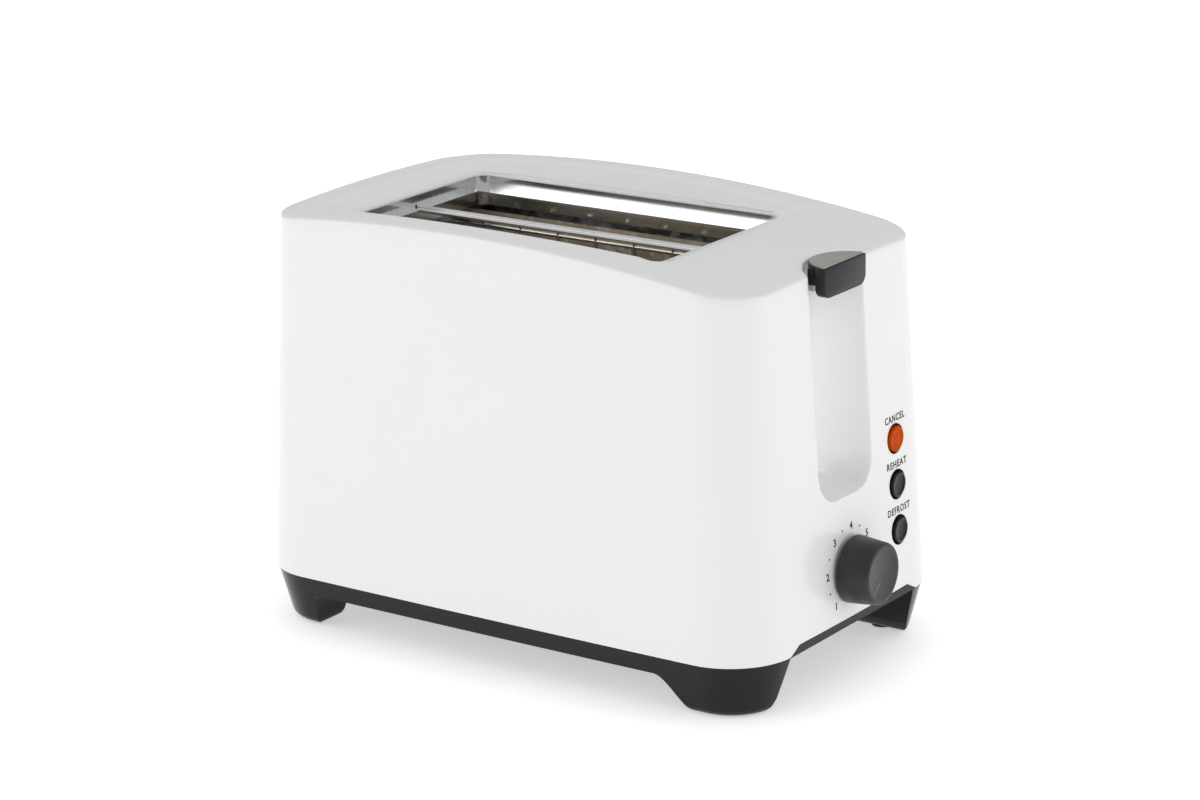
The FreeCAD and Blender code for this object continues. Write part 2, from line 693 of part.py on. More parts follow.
def base():
    outer = base_taper_block("base_outer", "0", "dims.pad_thick", "dims.edge_height")
    tools = [side_tunnel("side_tunnel", "0"), end_tunnel("end_tunnel", "0"),
             end_notch("front_notch", 1, "0"), end_notch("rear_notch", -1, "0")]
    lower = cut(outer, tools, "base_lower")
    rim_gap = "(dims.wall + dims.clear_gap)"
    low, high = "dims.edge_height - 0.5", "dims.edge_height + dims.base_rim"
    start = (low, f"{end_face(low)} - {rim_gap}", f"{end_face(low)} - {rim_gap}",
             f"{side_face(low)} - {rim_gap}", f"dims.corner_low - {rim_gap}")
    stop = (high, f"{end_face(high)} - {rim_gap}", f"{end_face(high)} - {rim_gap}",
            f"{side_face(high)} - {rim_gap}", f"dims.corner_low - {rim_gap} - 0.2")
    rim = loft("base_rim_block", start, stop)
    fill = common(notch_block("notch_fill", "dims.shell_length", "-dims.clear_gap",
                              "dims.notch_rise - dims.clear_gap"),
                  shell_block("notch_skin", "dims.base_inset", "dims.edge_height - 2"), "notch_plug")
    floor_top = "dims.floor_underside + dims.floor_thick"
    hollow = base_taper_block("base_hollow", "dims.base_wall + 0.8", "dims.pad_thick + dims.base_wall",
                              "dims.edge_height + 30")
    jackets = [side_tunnel("side_jacket", "dims.floor_thick"), end_tunnel("end_jacket", "dims.floor_thick"),
               end_notch("front_notch_jacket", 1, "dims.base_wall"), end_notch("rear_notch_jacket", -1,
                                                                               "dims.base_wall")]
    cavity = cut(hollow, jackets, "base_cavity")
    tray = cut(fuse([lower, rim, fill], "base_solid"), [cavity], "base_tray")
    posts = bosses("dims.floor_underside", "places.post_top", "dims.boss_radius", "base_post")
    holes = bosses("-1", "places.post_top + 1", "dims.screw_radius + 0.3", "screw_hole")
    wells = bosses("-1", "places.screw_seat", "dims.screw_head_radius + 0.4", "screw_well")
    vents = []
    for index in range(-3, 4):
        middle = f"{index} * dims.vent_pitch"
        if index:
            vents.append(box(("-dims.vent_length / 2", "dims.vent_length / 2"),
                             (f"{middle} - dims.vent_width / 2", f"{middle} + dims.vent_width / 2"),
                             ("dims.floor_underside - 2", f"{floor_top} + 2"), "vent"))
    inlet = rod("z", ("-places.gland_rear", "places.gland_side", "0"), "dims.gland_radius + dims.fit_gap",
                "40")
    whole = fuse([tray, *posts], "base_with_posts")
    node(cut(whole, [*holes, *wells, *vents, inlet], "base"), "base")


def foot_pads():
    pads = []
    for end in ("-1", "1"):
        for side in ("-1", "1"):
            spot = (f"{end} * (dims.shell_length / 2 - dims.pad_inset_x)",
                    f"{side} * (dims.shell_width / 2 - dims.pad_inset_y)", "0")
            pads.append(rod("z", spot, "dims.pad_radius", "dims.pad_thick", "pad"))
    node(group(pads, "pads"), "foot_pads")


def base_screws():
    screws = []
    seat = "places.screw_seat"
    heads = bosses(f"{seat} - dims.screw_head_height", seat, "dims.screw_head_radius", "head")
    shanks = bosses(f"{seat} - 0.5", f"{seat} + dims.screw_length", "dims.screw_radius - 0.1", "shank")
    for head, shank in zip(heads, shanks):
        screws.append(fuse([head, shank], "screw"))
    node(group(screws, "screws"), "base_screws")


def cord_gland():
    floor = "dims.floor_underside"
    centre = ("-places.gland_rear", "places.gland_side")
    body = rod("z", (*centre, f"{floor} - 4"), "dims.gland_radius", "dims.floor_thick + 9", "gland_body")
    flange = rod("z", (*centre, f"{floor} - 2"), "dims.gland_flange", "2", "gland_flange")
    nut = rod("z", (*centre, f"{floor} + dims.floor_thick"), "dims.gland_flange", "2", "gland_nut")
    bore = rod("z", (*centre, "0"), "dims.gland_bore", "40")
    node(cut(fuse([body, flange, nut]), [bore], "gland"), "cord_gland")


def terminal_block():
    low = "dims.floor_underside + dims.floor_thick"
    start = "-places.gland_rear + dims.gland_flange - 4"
    block = box((start, f"{start} + 22"), ("-places.oven_side - 17", "-places.oven_side - 5"),
                (low, f"{low} + 10"), "terminal_body")
    holes = [rod("z", (f"{start} + {4 + 7 * index}", "-places.oven_side - 11", f"{low} + 4"), "1.8", "10")
             for index in range(3)]
    node(cut(block, holes, "terminals"), "terminal_block")


# ------------------------------------------------------------------- oven
def slot_frame():
    top, gap = "places.frame_height", "dims.clear_gap"
    rear, front, side = f"-places.lip_rear + {gap}", f"places.lip_front - {gap}", f"places.lip_side - {gap}"
    outline_gap = f"-{gap}"
    plate = lip_block("frame_block", outline_gap, f"{top} - dims.frame_skirt",
                      f"{top} + dims.frame_wall_rise")
    inside_gap = f"-{gap} - dims.sheet"
    above = lip_block("frame_above", inside_gap, top, f"{top} + dims.frame_wall_rise + 2")
    below = lip_block("frame_below", inside_gap, f"{top} - dims.frame_skirt - 2", f"{top} - dims.sheet")
    tools = [above, below]
    for sign in (-1, 1):
        near, far = "dims.slot_inner", "dims.slot_inner + places.slot_width"
        span = (near, far) if sign > 0 else (f"-({far})", f"-({near})")
        tools.append(box((f"{rear} + dims.slot_end_margin", f"{front} - dims.slot_end_margin"), span,
                         (f"{top} - 5", f"{top} + 5"), "bread_slot"))
    groove = box((rear, front), ("-0.6", "0.6"), (f"{top} - 0.3", f"{top} + 1"), "divider_groove")
    node(cut(plate, [*tools, groove], "frame"), "slot_frame")


def chassis():
    top = "places.oven_top"
    side_y = ("-places.oven_side", "places.oven_side")
    front = box(("places.oven_front", "places.oven_front + dims.plate_thick"), side_y,
                ("places.floor_top", top), "front_sheet")
    slots = []
    for sign in ("-1", "1"):
        middle = f"{sign} * places.rack_side"
        slots.append(box(("places.oven_front - 1", "places.oven_front + dims.plate_thick + 1"),
                         (f"{middle} - 2 * dims.arm_half", f"{middle} + 2 * dims.arm_half"),
                         ("places.rack_height - places.travel - dims.cross_half - 2",
                          "places.rack_height + dims.cross_half + 2"), "rack_slot"))
    node(cut(front, slots, "front_plate"), "front_chassis_plate")
    node(box(("-places.oven_rear - dims.plate_thick", "-places.oven_rear"), side_y,
             ("places.rear_plate_low", top), "rear_plate"),
         "rear_chassis_plate")
    for label, sign in (("left_heat_shield", -1), ("right_heat_shield", 1)):
        near, far = "places.oven_side", "places.oven_side + dims.sheet"
        span = (near, far) if sign > 0 else (f"-({far})", f"-({near})")
        plate = box(("-places.oven_rear - dims.plate_thick", "places.oven_front + dims.plate_thick"), span,
                    ("places.floor_top", top), "shield_sheet")
        louvres = [box((f"-places.oven_rear + {20 + 26 * index}", f"-places.oven_rear + {36 + 26 * index}"),
                       (f"{span[0]} - 1", f"{span[1]} + 1"), ("places.floor_top + 6",
                                                              "places.floor_top + 12"), "louvre")
                   for index in range(6)]
        node(cut(plate, louvres, "shield"), label)


def heater(label, middle, faces):
    """A mica board with heating ribbon wound flat on its faces."""
    thick = "dims.sheet"
    x = ("-places.oven_rear", "places.oven_front")
    board = box(x, (f"{middle} - {thick} / 2", f"{middle} + {thick} / 2"),
                ("places.board_low", "places.board_high"), "mica")
    node(board, label + "_heater_board")
    wound = "(places.board_high - places.board_low - 2 * dims.ribbon_margin)"
    rows = int(size(f"{wound} / dims.ribbon_pitch")) + 1
    ribbons = []
    for face in faces:
        inner = f"{middle} + {face} * {thick} / 2"
        outer = f"{inner} + {face} * dims.ribbon_thick"
        span = (inner, outer) if face > 0 else (outer, inner)
        strips = []
        for index in range(rows):
            low = f"places.board_low + dims.ribbon_margin + {index} * dims.ribbon_pitch"
            strips.append(box((f"{x[0]} + dims.ribbon_margin", f"{x[1]} - dims.ribbon_margin"), span,
                              (low, f"{low} + dims.ribbon_width"), "ribbon"))
            if index:
                rear_end = f"{x[0]} + dims.ribbon_margin + dims.ribbon_width"
                end = f"{x[1]} - dims.ribbon_margin" if index % 2 else rear_end
                strips.append(box((f"{end} - dims.ribbon_width", end), span,
                                  (f"{low} - dims.ribbon_pitch", low), "ribbon_turn"))
        ribbons.append(fuse(strips, "winding"))
    node(ribbons[0] if len(ribbons) == 1 else group(ribbons, "windings"), label + "_heating_ribbon")


def bread_guard(label, middle):
    """A row of upright wires on two bars between bread and heater."""
    wires = []
    span = "places.oven_rear + places.oven_front"
    count = int(size(f"({span} - 30) / dims.guard_pitch")) + 1
    for index in range(count):
        x = f"-places.oven_rear + ({span} - {count - 1} * dims.guard_pitch) / 2 + {index} * dims.guard_pitch"
        wires.append(rod("z", (x, middle, "places.guard_low"), "dims.guard_wire",
                         "places.oven_top - places.guard_low - 2"))
    for height in ("places.guard_low + 3", "places.oven_top - 6"):
        wires.append(rod("x", ("-places.oven_rear", middle, height), "dims.guard_wire", span))
    node(fuse(wires, "guard"), label)


# --------------------------------------------------------------- carriage
def carriage():
    node(rod("z", ("places.rod_place", "0", "places.rod_low"), "dims.rod_radius",
             "places.oven_top - places.rod_low", "rod"), "guide_rod")
    lugs = []
    for low in ("places.rod_low - dims.lug_thick", "places.oven_top"):
        width = ("-dims.lug_half", "places.spring_side + dims.lug_half - 3")
        plate = box(("places.oven_front + dims.plate_thick", "places.rod_place + dims.rod_radius + 1"),
                    width,
                    (low, f"{low} + dims.lug_thick"), "lug")
        tab = box(("places.oven_front + dims.plate_thick", "places.oven_front + 2 * dims.plate_thick"),
                  width,
                  (f"{low} - dims.lug_tab", f"{low} + dims.lug_thick"), "lug_tab")
        lugs.append(fuse([plate, tab], "rod_lug"))
    node(lugs[0], "lower_rod_bracket")
    node(lugs[1], "upper_rod_bracket")

    sleeve = rod("z", ("places.rod_place", "0", "places.sleeve_low"), "places.sleeve_radius",
                 "places.sleeve_high - places.sleeve_low")
    yoke = box(("places.yoke_place", "places.yoke_place + dims.yoke_thick"),
               ("-places.yoke_half", "places.yoke_half"),
               ("places.sleeve_low", "places.yoke_high"), "yoke")
    web = box(("places.rod_place", "places.yoke_place + 0.5"), ("-3", "3"),
              ("places.sleeve_low", "places.sleeve_high"), "web")
    arms = []
    for sign in ("-1", "1"):
        middle = f"{sign} * places.rack_side"
        arms.append(box(("places.oven_front - dims.rack_end_gap", "places.yoke_place + dims.yoke_thick"),
                        (f"{middle} - dims.arm_half", f"{middle} + dims.arm_half"),
                        ("places.rack_height - dims.cross_half",
                         "places.rack_height + dims.cross_half"), "rack_arm"))
    cross = box(("places.yoke_place", "places.yoke_place + dims.yoke_thick"),
                ("-places.rack_side", "places.rack_side"),
                ("places.rack_height - dims.cross_half",
                 "places.rack_height + dims.cross_half"), "cross_piece")
    hook = box(("places.rod_place - dims.spring_back - 2", "places.yoke_place"),
               ("places.spring_side - 1", "places.spring_side + 1"),
               ("places.sleeve_low", "places.sleeve_low + 2"), "spring_hook")
    window = box(("places.yoke_place - 1", "places.yoke_place + 3"),
                 ("-dims.window_half", "dims.window_half"),
                 ("places.sleeve_high + 4", "places.yoke_high - 5"), "window")
    bore = rod("z", ("places.rod_place", "0", "places.sleeve_low - 2"), "dims.rod_radius + dims.fit_gap",
               "60")
    node(cut(fuse([sleeve, yoke, web, cross, hook, *arms]), [bore, window], "carriage_piece"), "carriage")

    for label, sign in (("left_bread_rack", "-1"), ("right_bread_rack", "1")):
        middle = f"({sign} * places.rack_side)"
        top = "places.rack_height"
        bar = box(("-places.oven_rear + dims.rack_end_gap", "places.oven_front - dims.rack_end_gap"),
                  (f"{middle} - dims.rack_thick / 2", f"{middle} + dims.rack_thick / 2"),
                  (f"{top} - dims.rack_depth", top), "rack_bar")
        teeth = []
        count = int(size("(places.oven_rear + places.oven_front - 30) / dims.rack_pitch")) + 1
        for index in range(count):
            x = f"-places.oven_rear + 15 + {index} * dims.rack_pitch"
            teeth.append(box((f"{x} - 1.5", f"{x} + 1.5"),
                             (f"{middle} - places.rack_tooth", f"{middle} + places.rack_tooth"),
                             (f"{top} - dims.rack_thick", top), "tooth"))
        node(fuse([bar, *teeth], "rack"), label)


def carriage_spring():
    low, high = "places.sleeve_low + 2", "places.oven_top"
    wire = size("dims.spring_wire")
    span = size(f"{high} - ({low})") - 2 * wire
    turns = round(span / size("dims.spring_pitch"))
    radius = size("dims.spring_radius")
    helix = Part.makeHelix(span / turns, span, radius)
    profile = Part.Wire(Part.makeCircle(wire, Vector(radius, 0, 0), Vector(0, 1, 0)))
    coil = Part.Wire(helix.Edges).makePipeShell([profile], True, True)
    item = doc.addObject("Part::Feature", "spring")
    item.Shape = coil
    item.Placement = Placement(Vector(size("places.rod_place - dims.spring_back - dims.centre_shift"),
                                      size("places.spring_side"),
                                      size(low) + wire), Rotation())
    node(item, "carriage_spring")


def d_outline(name, inset, low, high):
    """The lever's plan: a straight front with a round back, made smaller by an inset."""
    depth, half, less = "dims.lever_depth", "(dims.lever_width / 2)", f"({inset})"
    arc = f"(({half} * {half} + {depth} * {depth}) / (2 * {depth}))"
    back = rod("z", (f"places.lever_front - {depth} + {arc}", "-dims.controls_side", low), f"{arc} - {less}",
               f"({high}) - ({low})")
    face = box(("places.lever_front - 40", f"places.lever_front - {less}"),
               (f"-dims.controls_side - {half} + {less}", f"-dims.controls_side + {half} - {less}"), (low, high))
    return common(back, face, name)


def lever():
    top = "places.lever_top"
    plate = d_outline("lever_plate", "0", f"{top} - dims.lever_plate", top)
    half = "dims.lever_width / 2"
    body = new_body("lever_face")
    sketch = new_sketch(body, YZ, "places.lever_front - dims.lever_block")
    left, right = f"-dims.controls_side - {half}", f"-dims.controls_side + {half}"
    low, high, r = f"{top} - dims.lever_height", top, "dims.lever_corner"
    outline(sketch, [(left, high), (left, f"{low} + {r}"), (f"{left} + 0.3 * {r}", f"{low} + 0.3 * {r}"),
                     (f"{left} + {r}", low), (f"{right} - {r}", low), (f"{right} - 0.3 * {r}",
                                                                       f"{low} + 0.3 * {r}"),
                     (right, f"{low} + {r}"), (right, high)])
    pad = body.newObject("PartDesign::Pad", "lever_face_pad")
    pad.Profile = sketch
    bind(pad, Length="dims.lever_block")
    stem = box(("places.lever_front - dims.lever_block - 1.5",
                "places.lever_front - dims.lever_block + 0.5"),
               ("-dims.arm_side - 3", "-dims.arm_side + 3"), (f"{low} + 1", f"{top} - 1"), "lever_stem")
    socket = box(("places.channel_floor - 20", "places.lever_front - 3"),
                 ("-dims.arm_side - dims.arm_thick / 2", "-dims.arm_side + dims.arm_thick / 2"),
                 ("places.arm_low", "places.arm_high"), "arm_socket")
    seat = f"{top} - dims.lever_pad_sink"
    sunk = d_outline("pad_seat", "dims.lever_pad_inset", seat, f"{top} + 3")
    node(cut(fuse([plate, body, stem]), [socket, sunk], "lever_piece"), "lever_knob")
    under = f"{seat} + dims.lever_pad_film"
    inset = "dims.lever_pad_inset + dims.lever_pad_gap"
    node(d_outline("pad_piece", inset, under, f"{under} + dims.lever_pad_thick"), "lever_pad")
    node(box(("places.yoke_place + dims.yoke_thick", "places.lever_front - 3"),
             ("-dims.arm_side - dims.arm_thick / 2", "-dims.arm_side + dims.arm_thick / 2"),
             ("places.arm_low", "places.arm_high"), "arm"), "lever_arm")


# ------------------------------------------------------ magnet and control
def magnet():
    x, y, half = "places.magnet_place", "dims.magnet_side", "dims.core_half"
    low, top = "places.magnet_low", "places.keeper_low - places.travel - dims.magnet_gap"
    core = box((f"{x} - {half}", f"{x} + {half}"), (f"{y} - {half}", f"{y} + {half}"), (low, top), "core")
    foot = box(("places.oven_front + dims.plate_thick", f"{x} + {half}"),
               (f"{y} - {half}", f"{y} + {half}"),
               (low, f"{low} + dims.core_foot"), "core_foot")
    node(fuse([core, foot], "core_piece"), "magnet_core")
    hole_half = f"({half} + dims.coil_gap)"
    hole = box((f"{x} - {hole_half}", f"{x} + {hole_half}"), (f"{y} - {hole_half}", f"{y} + {hole_half}"),
               (low, top), "coil_hole")
    start, stop = f"{low} + dims.core_foot + 0.4", f"{top} - dims.core_proud"
    winding = rod("z", (x, y, f"{start} + dims.bobbin_flange"), "dims.coil_radius",
                  f"({stop}) - ({start}) - 2 * dims.bobbin_flange", "winding_block")
    node(cut(winding, [hole], "coil"), "magnet_coil")
    flanges = [cut(rod("z", (x, y, bottom), "dims.coil_radius + 1.2", "dims.bobbin_flange"), [hole],
                   "flange")
               for bottom in (start, f"{stop} - dims.bobbin_flange")]
    node(group(flanges, "bobbin"), "magnet_bobbin")
    keeper_top = "places.keeper_low + dims.keeper_thick"
    outer = f"{y} + dims.keeper_half"
    keeper = box((f"{x} - dims.keeper_half", "places.yoke_place + dims.yoke_thick"),
                 (f"{y} - dims.keeper_half", outer),
                 ("places.keeper_low", keeper_top), "keeper")
    tab = box(("places.yoke_place", "places.yoke_place + dims.yoke_thick"),
              ("places.keeper_start", outer),
              ("places.rack_height + 2", keeper_top), "keeper_tab")
    node(fuse([keeper, tab], "keeper_piece"), "magnet_keeper")


def control_board():
    x = ("places.circuit_place", "places.circuit_place + dims.board_thick")
    far = "places.circuit_side"
    low = box(x, ("-dims.board_half", far), ("places.circuit_low", "dims.board_step"), "board_low")
    high = box(x, ("places.button_side - dims.board_rise_half", far),
               ("places.circuit_low", "dims.board_top"), "board_high")
    node(fuse([low, high], "board"), "circuit_board")
    chips = [box((f"{x[1]}", f"{x[1]} + 3"), ("-28", "-18"), ("34", "44"), "relay"),
             box((f"{x[1]}", f"{x[1]} + 2"), ("14", "22"), ("58", "66"), "chip")]
    chips += [rod("x", (x[1], f"{-28 + 8 * index}", "68"), "2.6", "8", "capacitor") for index in range(2)]
    node(group(chips, "chips"), "board_components")
    switches = []
    for index in range(3):
        front = f"{end_face(button_height(index))} - dims.wall - 8"
        switches.append(box((x[1], front), ("places.button_side - 3", "places.button_side + 3"),
                            (f"{button_height(index)} - 3", f"{button_height(index)} + 3"), "switch"))
    node(group(switches, "switches"), "button_switches")
    pot = rod("x", (x[1], "-dims.controls_side", "dims.knob_height"), "dims.pot_radius", "dims.pot_depth",
              "pot")
    bore = rod("x", (x[1], "-dims.controls_side", "dims.knob_height"), "dims.shaft_radius + dims.fit_gap",
               "30")
    node(cut(pot, [bore], "pot_piece"), "browning_control")


def browning_knob():
    centre = ("-dims.controls_side", "dims.knob_height")
    start = f"{end_face('dims.knob_height')} + dims.knob_shell_gap"
    length = "(dims.knob_proud - dims.knob_shell_gap)"
    body = rod("x", (start, *centre), "dims.knob_radius", length, "knob_body", "dims.knob_tip_radius")
    hollow = rod("x", (f"{start} - 1", *centre), "dims.knob_tip_radius - 2",
                 f"{length} - dims.knob_web + 1", "knob_hollow")
    hub = rod("x", (start, *centre), "dims.shaft_radius + 2.2", f"{length} - dims.knob_web + 1", "knob_hub")
    bore = rod("x", (f"{start} - 1", *centre), "dims.shaft_radius", f"{length} - 3", "knob_bore")
    shell_of_knob = cut(body, [hollow], "knob_shell")
    node(cut(fuse([shell_of_knob, hub]), [bore], "knob"), "browning_knob")
    end = f"{start} + {length} - 4"
    node(rod("x", ("places.circuit_place + dims.board_thick + 1", *centre), "dims.shaft_radius",
             f"{end} - (places.circuit_place + dims.board_thick + 1)", "shaft"), "knob_shaft")


def buttons():
    ring_outer = "dims.button_radius + dims.button_gap + dims.ring_wall"
    rings = []
    for index, label in enumerate(("defrost_button", "reheat_button", "cancel_button")):
        height = button_height(index)
        face = end_face(height)
        front = f"{face} + dims.button_proud"
        back = f"{face} - dims.wall - 8 + dims.button_travel + 0.1"
        cap = rod("x", (f"{face} - dims.wall - 3", "places.button_side", height), "dims.button_radius",
                  f"{front} - ({face} - dims.wall - 3)", "cap")
        stem = rod("x", (back, "places.button_side", height), "2", "6", "stem")
        node(fuse([cap, stem], "button"), label)
        rings.append(tube("x", (f"{face} - dims.wall - 3", "places.button_side", height), ring_outer,
                          "dims.button_radius + dims.button_gap", "dims.wall + 3 + 0.3", "ring"))
    node(group(rings, "rings"), "button_rings")


def crumb_tray():
    low, t = "places.tray_low", "dims.tray_sheet"
    rear = f"-({end_face('places.tray_low + dims.tray_plate / 2')})"
    y = ("-places.tray_half", "places.tray_half")
    pan = cut(box((f"{rear} + 1", "places.tray_front"), y, (low, f"{low} + dims.tray_wall")),
              [box((f"{rear} + 1 + {t}", f"places.tray_front - {t}"), (f"{y[0]} + {t}", f"{y[1]} - {t}"),
                   (f"{low} + {t}", f"{low} + 20"))], "pan")
    plate = box((f"{rear} - 0.2", f"{rear} + 1.4"), y, (low, f"{low} + dims.tray_plate"), "tray_plate")
    pull = box((f"{rear} - 0.6", f"{rear} + 1"), ("-14", "14"), (f"{low} + 2.5", f"{low} + 4"), "tray_pull")
    node(fuse([pan, plate, pull], "tray"), "crumb_tray")
    rails = []
    for sign in (-1, 1):
        near, far = "places.tray_half + dims.tray_gap / 2", "places.oven_side"
        span = (near, far) if sign > 0 else (f"-({far})", f"-({near})")
        rails.append(box(("-places.oven_rear + 4", "places.oven_front"), span,
                         (f"{low} - 1.5", f"{low} - 0.5"), "rail_foot"))
    node(group(rails, "rails"), "tray_rails")


outer_shell()
base()
foot_pads()
base_screws()
cord_gland()
terminal_block()
slot_frame()
chassis()
heater("left", "-places.board_side", [1])
heater("centre", "0", [-1, 1])
heater("right", "places.board_side", [-1])
bread_guard("left_outer_guard", "-places.guard_out")
bread_guard("left_inner_guard", "-places.guard_in")
bread_guard("right_inner_guard", "places.guard_in")
bread_guard("right_outer_guard", "places.guard_out")
carriage()
carriage_spring()
lever()
magnet()
control_board()
browning_knob()
buttons()
crumb_tray()

doc.recompute()
for item in doc.Objects:
    if "Invalid" in item.State or "Error" in item.State:
        raise RuntimeError(f"{item.Name} ({item.Label}) could not be made: {item.State}")
for item in nodes:
    if item.Shape.isNull() or not item.Shape.isValid() or not item.Shape.Solids:
        raise RuntimeError(f"{item.Label} has no valid solid")
for item in nodes:
    item.Shape.exportStep(f"parts/{item.Label}.step")
    box_of = item.Shape.BoundBox
    print(f"{item.Label:24s} solids {len(item.Shape.Solids):3d} volume {item.Shape.Volume / 1000:9.2f} cm3"
          f"  x {box_of.XMin:7.1f} {box_of.XMax:7.1f}  y {box_of.YMin:6.1f} {box_of.YMax:6.1f}"
          f"  z {box_of.ZMin:6.1f} {box_of.ZMax:6.1f}")
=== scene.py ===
"""Two slot pop up toaster: finished pieces, materials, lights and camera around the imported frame."""
import bpy
import bmesh
import json
from math import cos, hypot, pi, radians, sin, sqrt
from mathutils import Matrix, Vector


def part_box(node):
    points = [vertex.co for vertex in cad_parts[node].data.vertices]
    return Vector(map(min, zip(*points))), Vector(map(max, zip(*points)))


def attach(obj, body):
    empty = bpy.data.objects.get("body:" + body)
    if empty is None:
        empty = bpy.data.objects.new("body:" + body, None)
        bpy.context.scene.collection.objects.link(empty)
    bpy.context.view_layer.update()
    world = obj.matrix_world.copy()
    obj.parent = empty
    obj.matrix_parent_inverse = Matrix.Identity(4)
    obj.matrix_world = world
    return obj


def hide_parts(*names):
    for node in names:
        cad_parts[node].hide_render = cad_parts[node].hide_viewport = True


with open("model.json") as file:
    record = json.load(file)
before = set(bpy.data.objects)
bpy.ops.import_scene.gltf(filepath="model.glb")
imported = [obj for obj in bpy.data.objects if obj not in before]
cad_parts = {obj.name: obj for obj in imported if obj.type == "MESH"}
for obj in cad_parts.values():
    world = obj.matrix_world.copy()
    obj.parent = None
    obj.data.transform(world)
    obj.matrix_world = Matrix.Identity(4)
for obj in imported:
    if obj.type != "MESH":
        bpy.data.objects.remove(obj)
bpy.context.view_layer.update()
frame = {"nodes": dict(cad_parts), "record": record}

MM = 0.001
SHELL_LOW, SHELL_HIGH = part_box("outer_shell")
MIDDLE_X = (SHELL_LOW.x + SHELL_HIGH.x) / 2          # the toaster is drawn from the middle of its shell
HALF_LENGTH = (SHELL_HIGH.x - SHELL_LOW.x) / 2 / MM
HALF_WIDTH = SHELL_HIGH.y / MM

# ----------------------------------------------------------------- camera
scene = bpy.context.scene
scene.view_settings.view_transform = "Standard"
YAW, PITCH, ROLL = radians(35.203), radians(16.521), radians(-1.117)
CAMERA_PLACE = Vector((840.88, -1186.93, 530.33)) * MM + Vector((MIDDLE_X, 0, 0))
LENS, SENSOR = 107.19, 36


def make_camera():
    """A long lens held a little above the toaster's front corner."""
    right = Vector((cos(YAW), sin(YAW), 0))
    back = Vector((sin(YAW) * cos(PITCH), -cos(YAW) * cos(PITCH), sin(PITCH)))
    up = back.cross(right)
    across = right * cos(ROLL) + up * sin(ROLL)
    upright = up * cos(ROLL) - right * sin(ROLL)
    turn = Matrix((across, upright, back)).transposed().to_4x4()
    data = bpy.data.cameras.new("camera")
    data.lens, data.sensor_width = LENS, SENSOR
    data.clip_start, data.clip_end = 0.05, 20
    camera = bpy.data.objects.new("camera", data)
    camera.matrix_world = Matrix.Translation(CAMERA_PLACE) @ turn
    scene.collection.objects.link(camera)
    scene.camera = camera


make_camera()


# -------------------------------------------------------------- materials
COAT_ROUGHNESS = 0.05


class Socket:
    """A shader value that can be added and multiplied like a number."""

    def __init__(self, paint, output):
        self.paint, self.output = paint, output

    def maths(self, operation, *others):
        return self.paint.node("ShaderNodeMath", {"operation": operation}, self, *others)

    def __add__(self, other): return self.maths("ADD", other)
    def __radd__(self, other): return self.maths("ADD", other)
    def __mul__(self, other): return self.maths("MULTIPLY", other)
    def __rmul__(self, other): return self.maths("MULTIPLY", other)


class Paint:
    """One material, built from expressions."""

    def __init__(self, name, colour, roughness, metallic=0.0, coat=0.0, ior=1.5):
        self.material = bpy.data.materials.new(name)
        self.material.use_nodes = True
        self.tree = self.material.node_tree
        self.shader = self.tree.nodes["Principled BSDF"]
        for socket, value in (("Base Color", (*colour, 1)), ("Roughness", roughness), ("Metallic", metallic),
                              ("Coat Weight", coat), ("Coat Roughness", COAT_ROUGHNESS), ("IOR", ior)):
            self.shader.inputs[socket].default_value = value
        self.place = self.node("ShaderNodeTexCoord", {}, output="Object")

    def node(self, kind, settings, *inputs, output=0, **named):
        made = self.tree.nodes.new(kind)
        for key, value in settings.items():
            if key == "stops":
                ramp = made.color_ramp
                while len(ramp.elements) < len(value):
                    ramp.elements.new(0.5)
                for element, (position, tint) in zip(ramp.elements, value):
                    element.position = position
                    element.color = (*tint, 1)
            else:
                setattr(made, key, value)
        for target, value in [*enumerate(inputs), *((k.replace("_", " "), v) for k, v in named.items())]:
            if isinstance(value, Socket):
                self.tree.links.new(value.output, made.inputs[target])
            elif value is not None:
                made.inputs[target].default_value = value
        return Socket(self, made.outputs[output])

    def put(self, socket, value):
        self.tree.links.new(value.output, self.shader.inputs[socket])
        return self

    def stretched(self, x, y, z):
        """Object coordinates scaled along each axis."""
        return self.node("ShaderNodeMapping", {}, self.place, Scale=(x, y, z))

    def noise(self, scale, detail=3.0, roughness=0.5, where=None):
        return self.node("ShaderNodeTexNoise", {}, Vector=where or self.place, Scale=scale, Detail=detail,
                         Roughness=roughness)

    def range(self, value, low, high, to_low, to_high):
        return self.node("ShaderNodeMapRange", {}, value, low, high, to_low, to_high)

    def mix(self, factor, first, second):
        """A colour between two colours."""
        made = self.tree.nodes.new("ShaderNodeMix")
        made.data_type = "RGBA"
        for target, value in ((0, factor), (6, first), (7, second)):
            if isinstance(value, Socket):
                self.tree.links.new(value.output, made.inputs[target])
            else:
                made.inputs[target].default_value = (*value, 1) if isinstance(value, tuple) else value
        return Socket(self, made.outputs[2])

    def bump(self, height, strength, distance):
        self.put("Normal", self.node("ShaderNodeBump", {}, Height=height, Strength=strength,
                                     Distance=distance))
        return self


def moulded(name, colour, roughness, grain, coat=0.0, fleck=0.04, depth=0.00003, ior=1.5,
            spread=0.15):
    """Moulded plastic: a faint flow mottle in colour and gloss and a fine skin."""
    paint = Paint(name, colour, roughness, coat=coat, ior=ior)
    mottle = paint.noise(18, 4)
    darker = tuple(c * (1 - fleck) for c in colour)
    lighter = tuple(min(1.0, c * (1 + fleck)) for c in colour)
    paint.put("Base Color", paint.mix(paint.range(mottle, 0.3, 0.7, 0, 1), darker, lighter))
    smear = paint.noise(55, 5, 0.6)
    paint.put("Roughness", paint.range(smear, 0.3, 0.7, roughness * (1 - spread),
                                       roughness * (1 + spread)))
    return paint.bump(paint.noise(grain, 3), 0.1, depth)


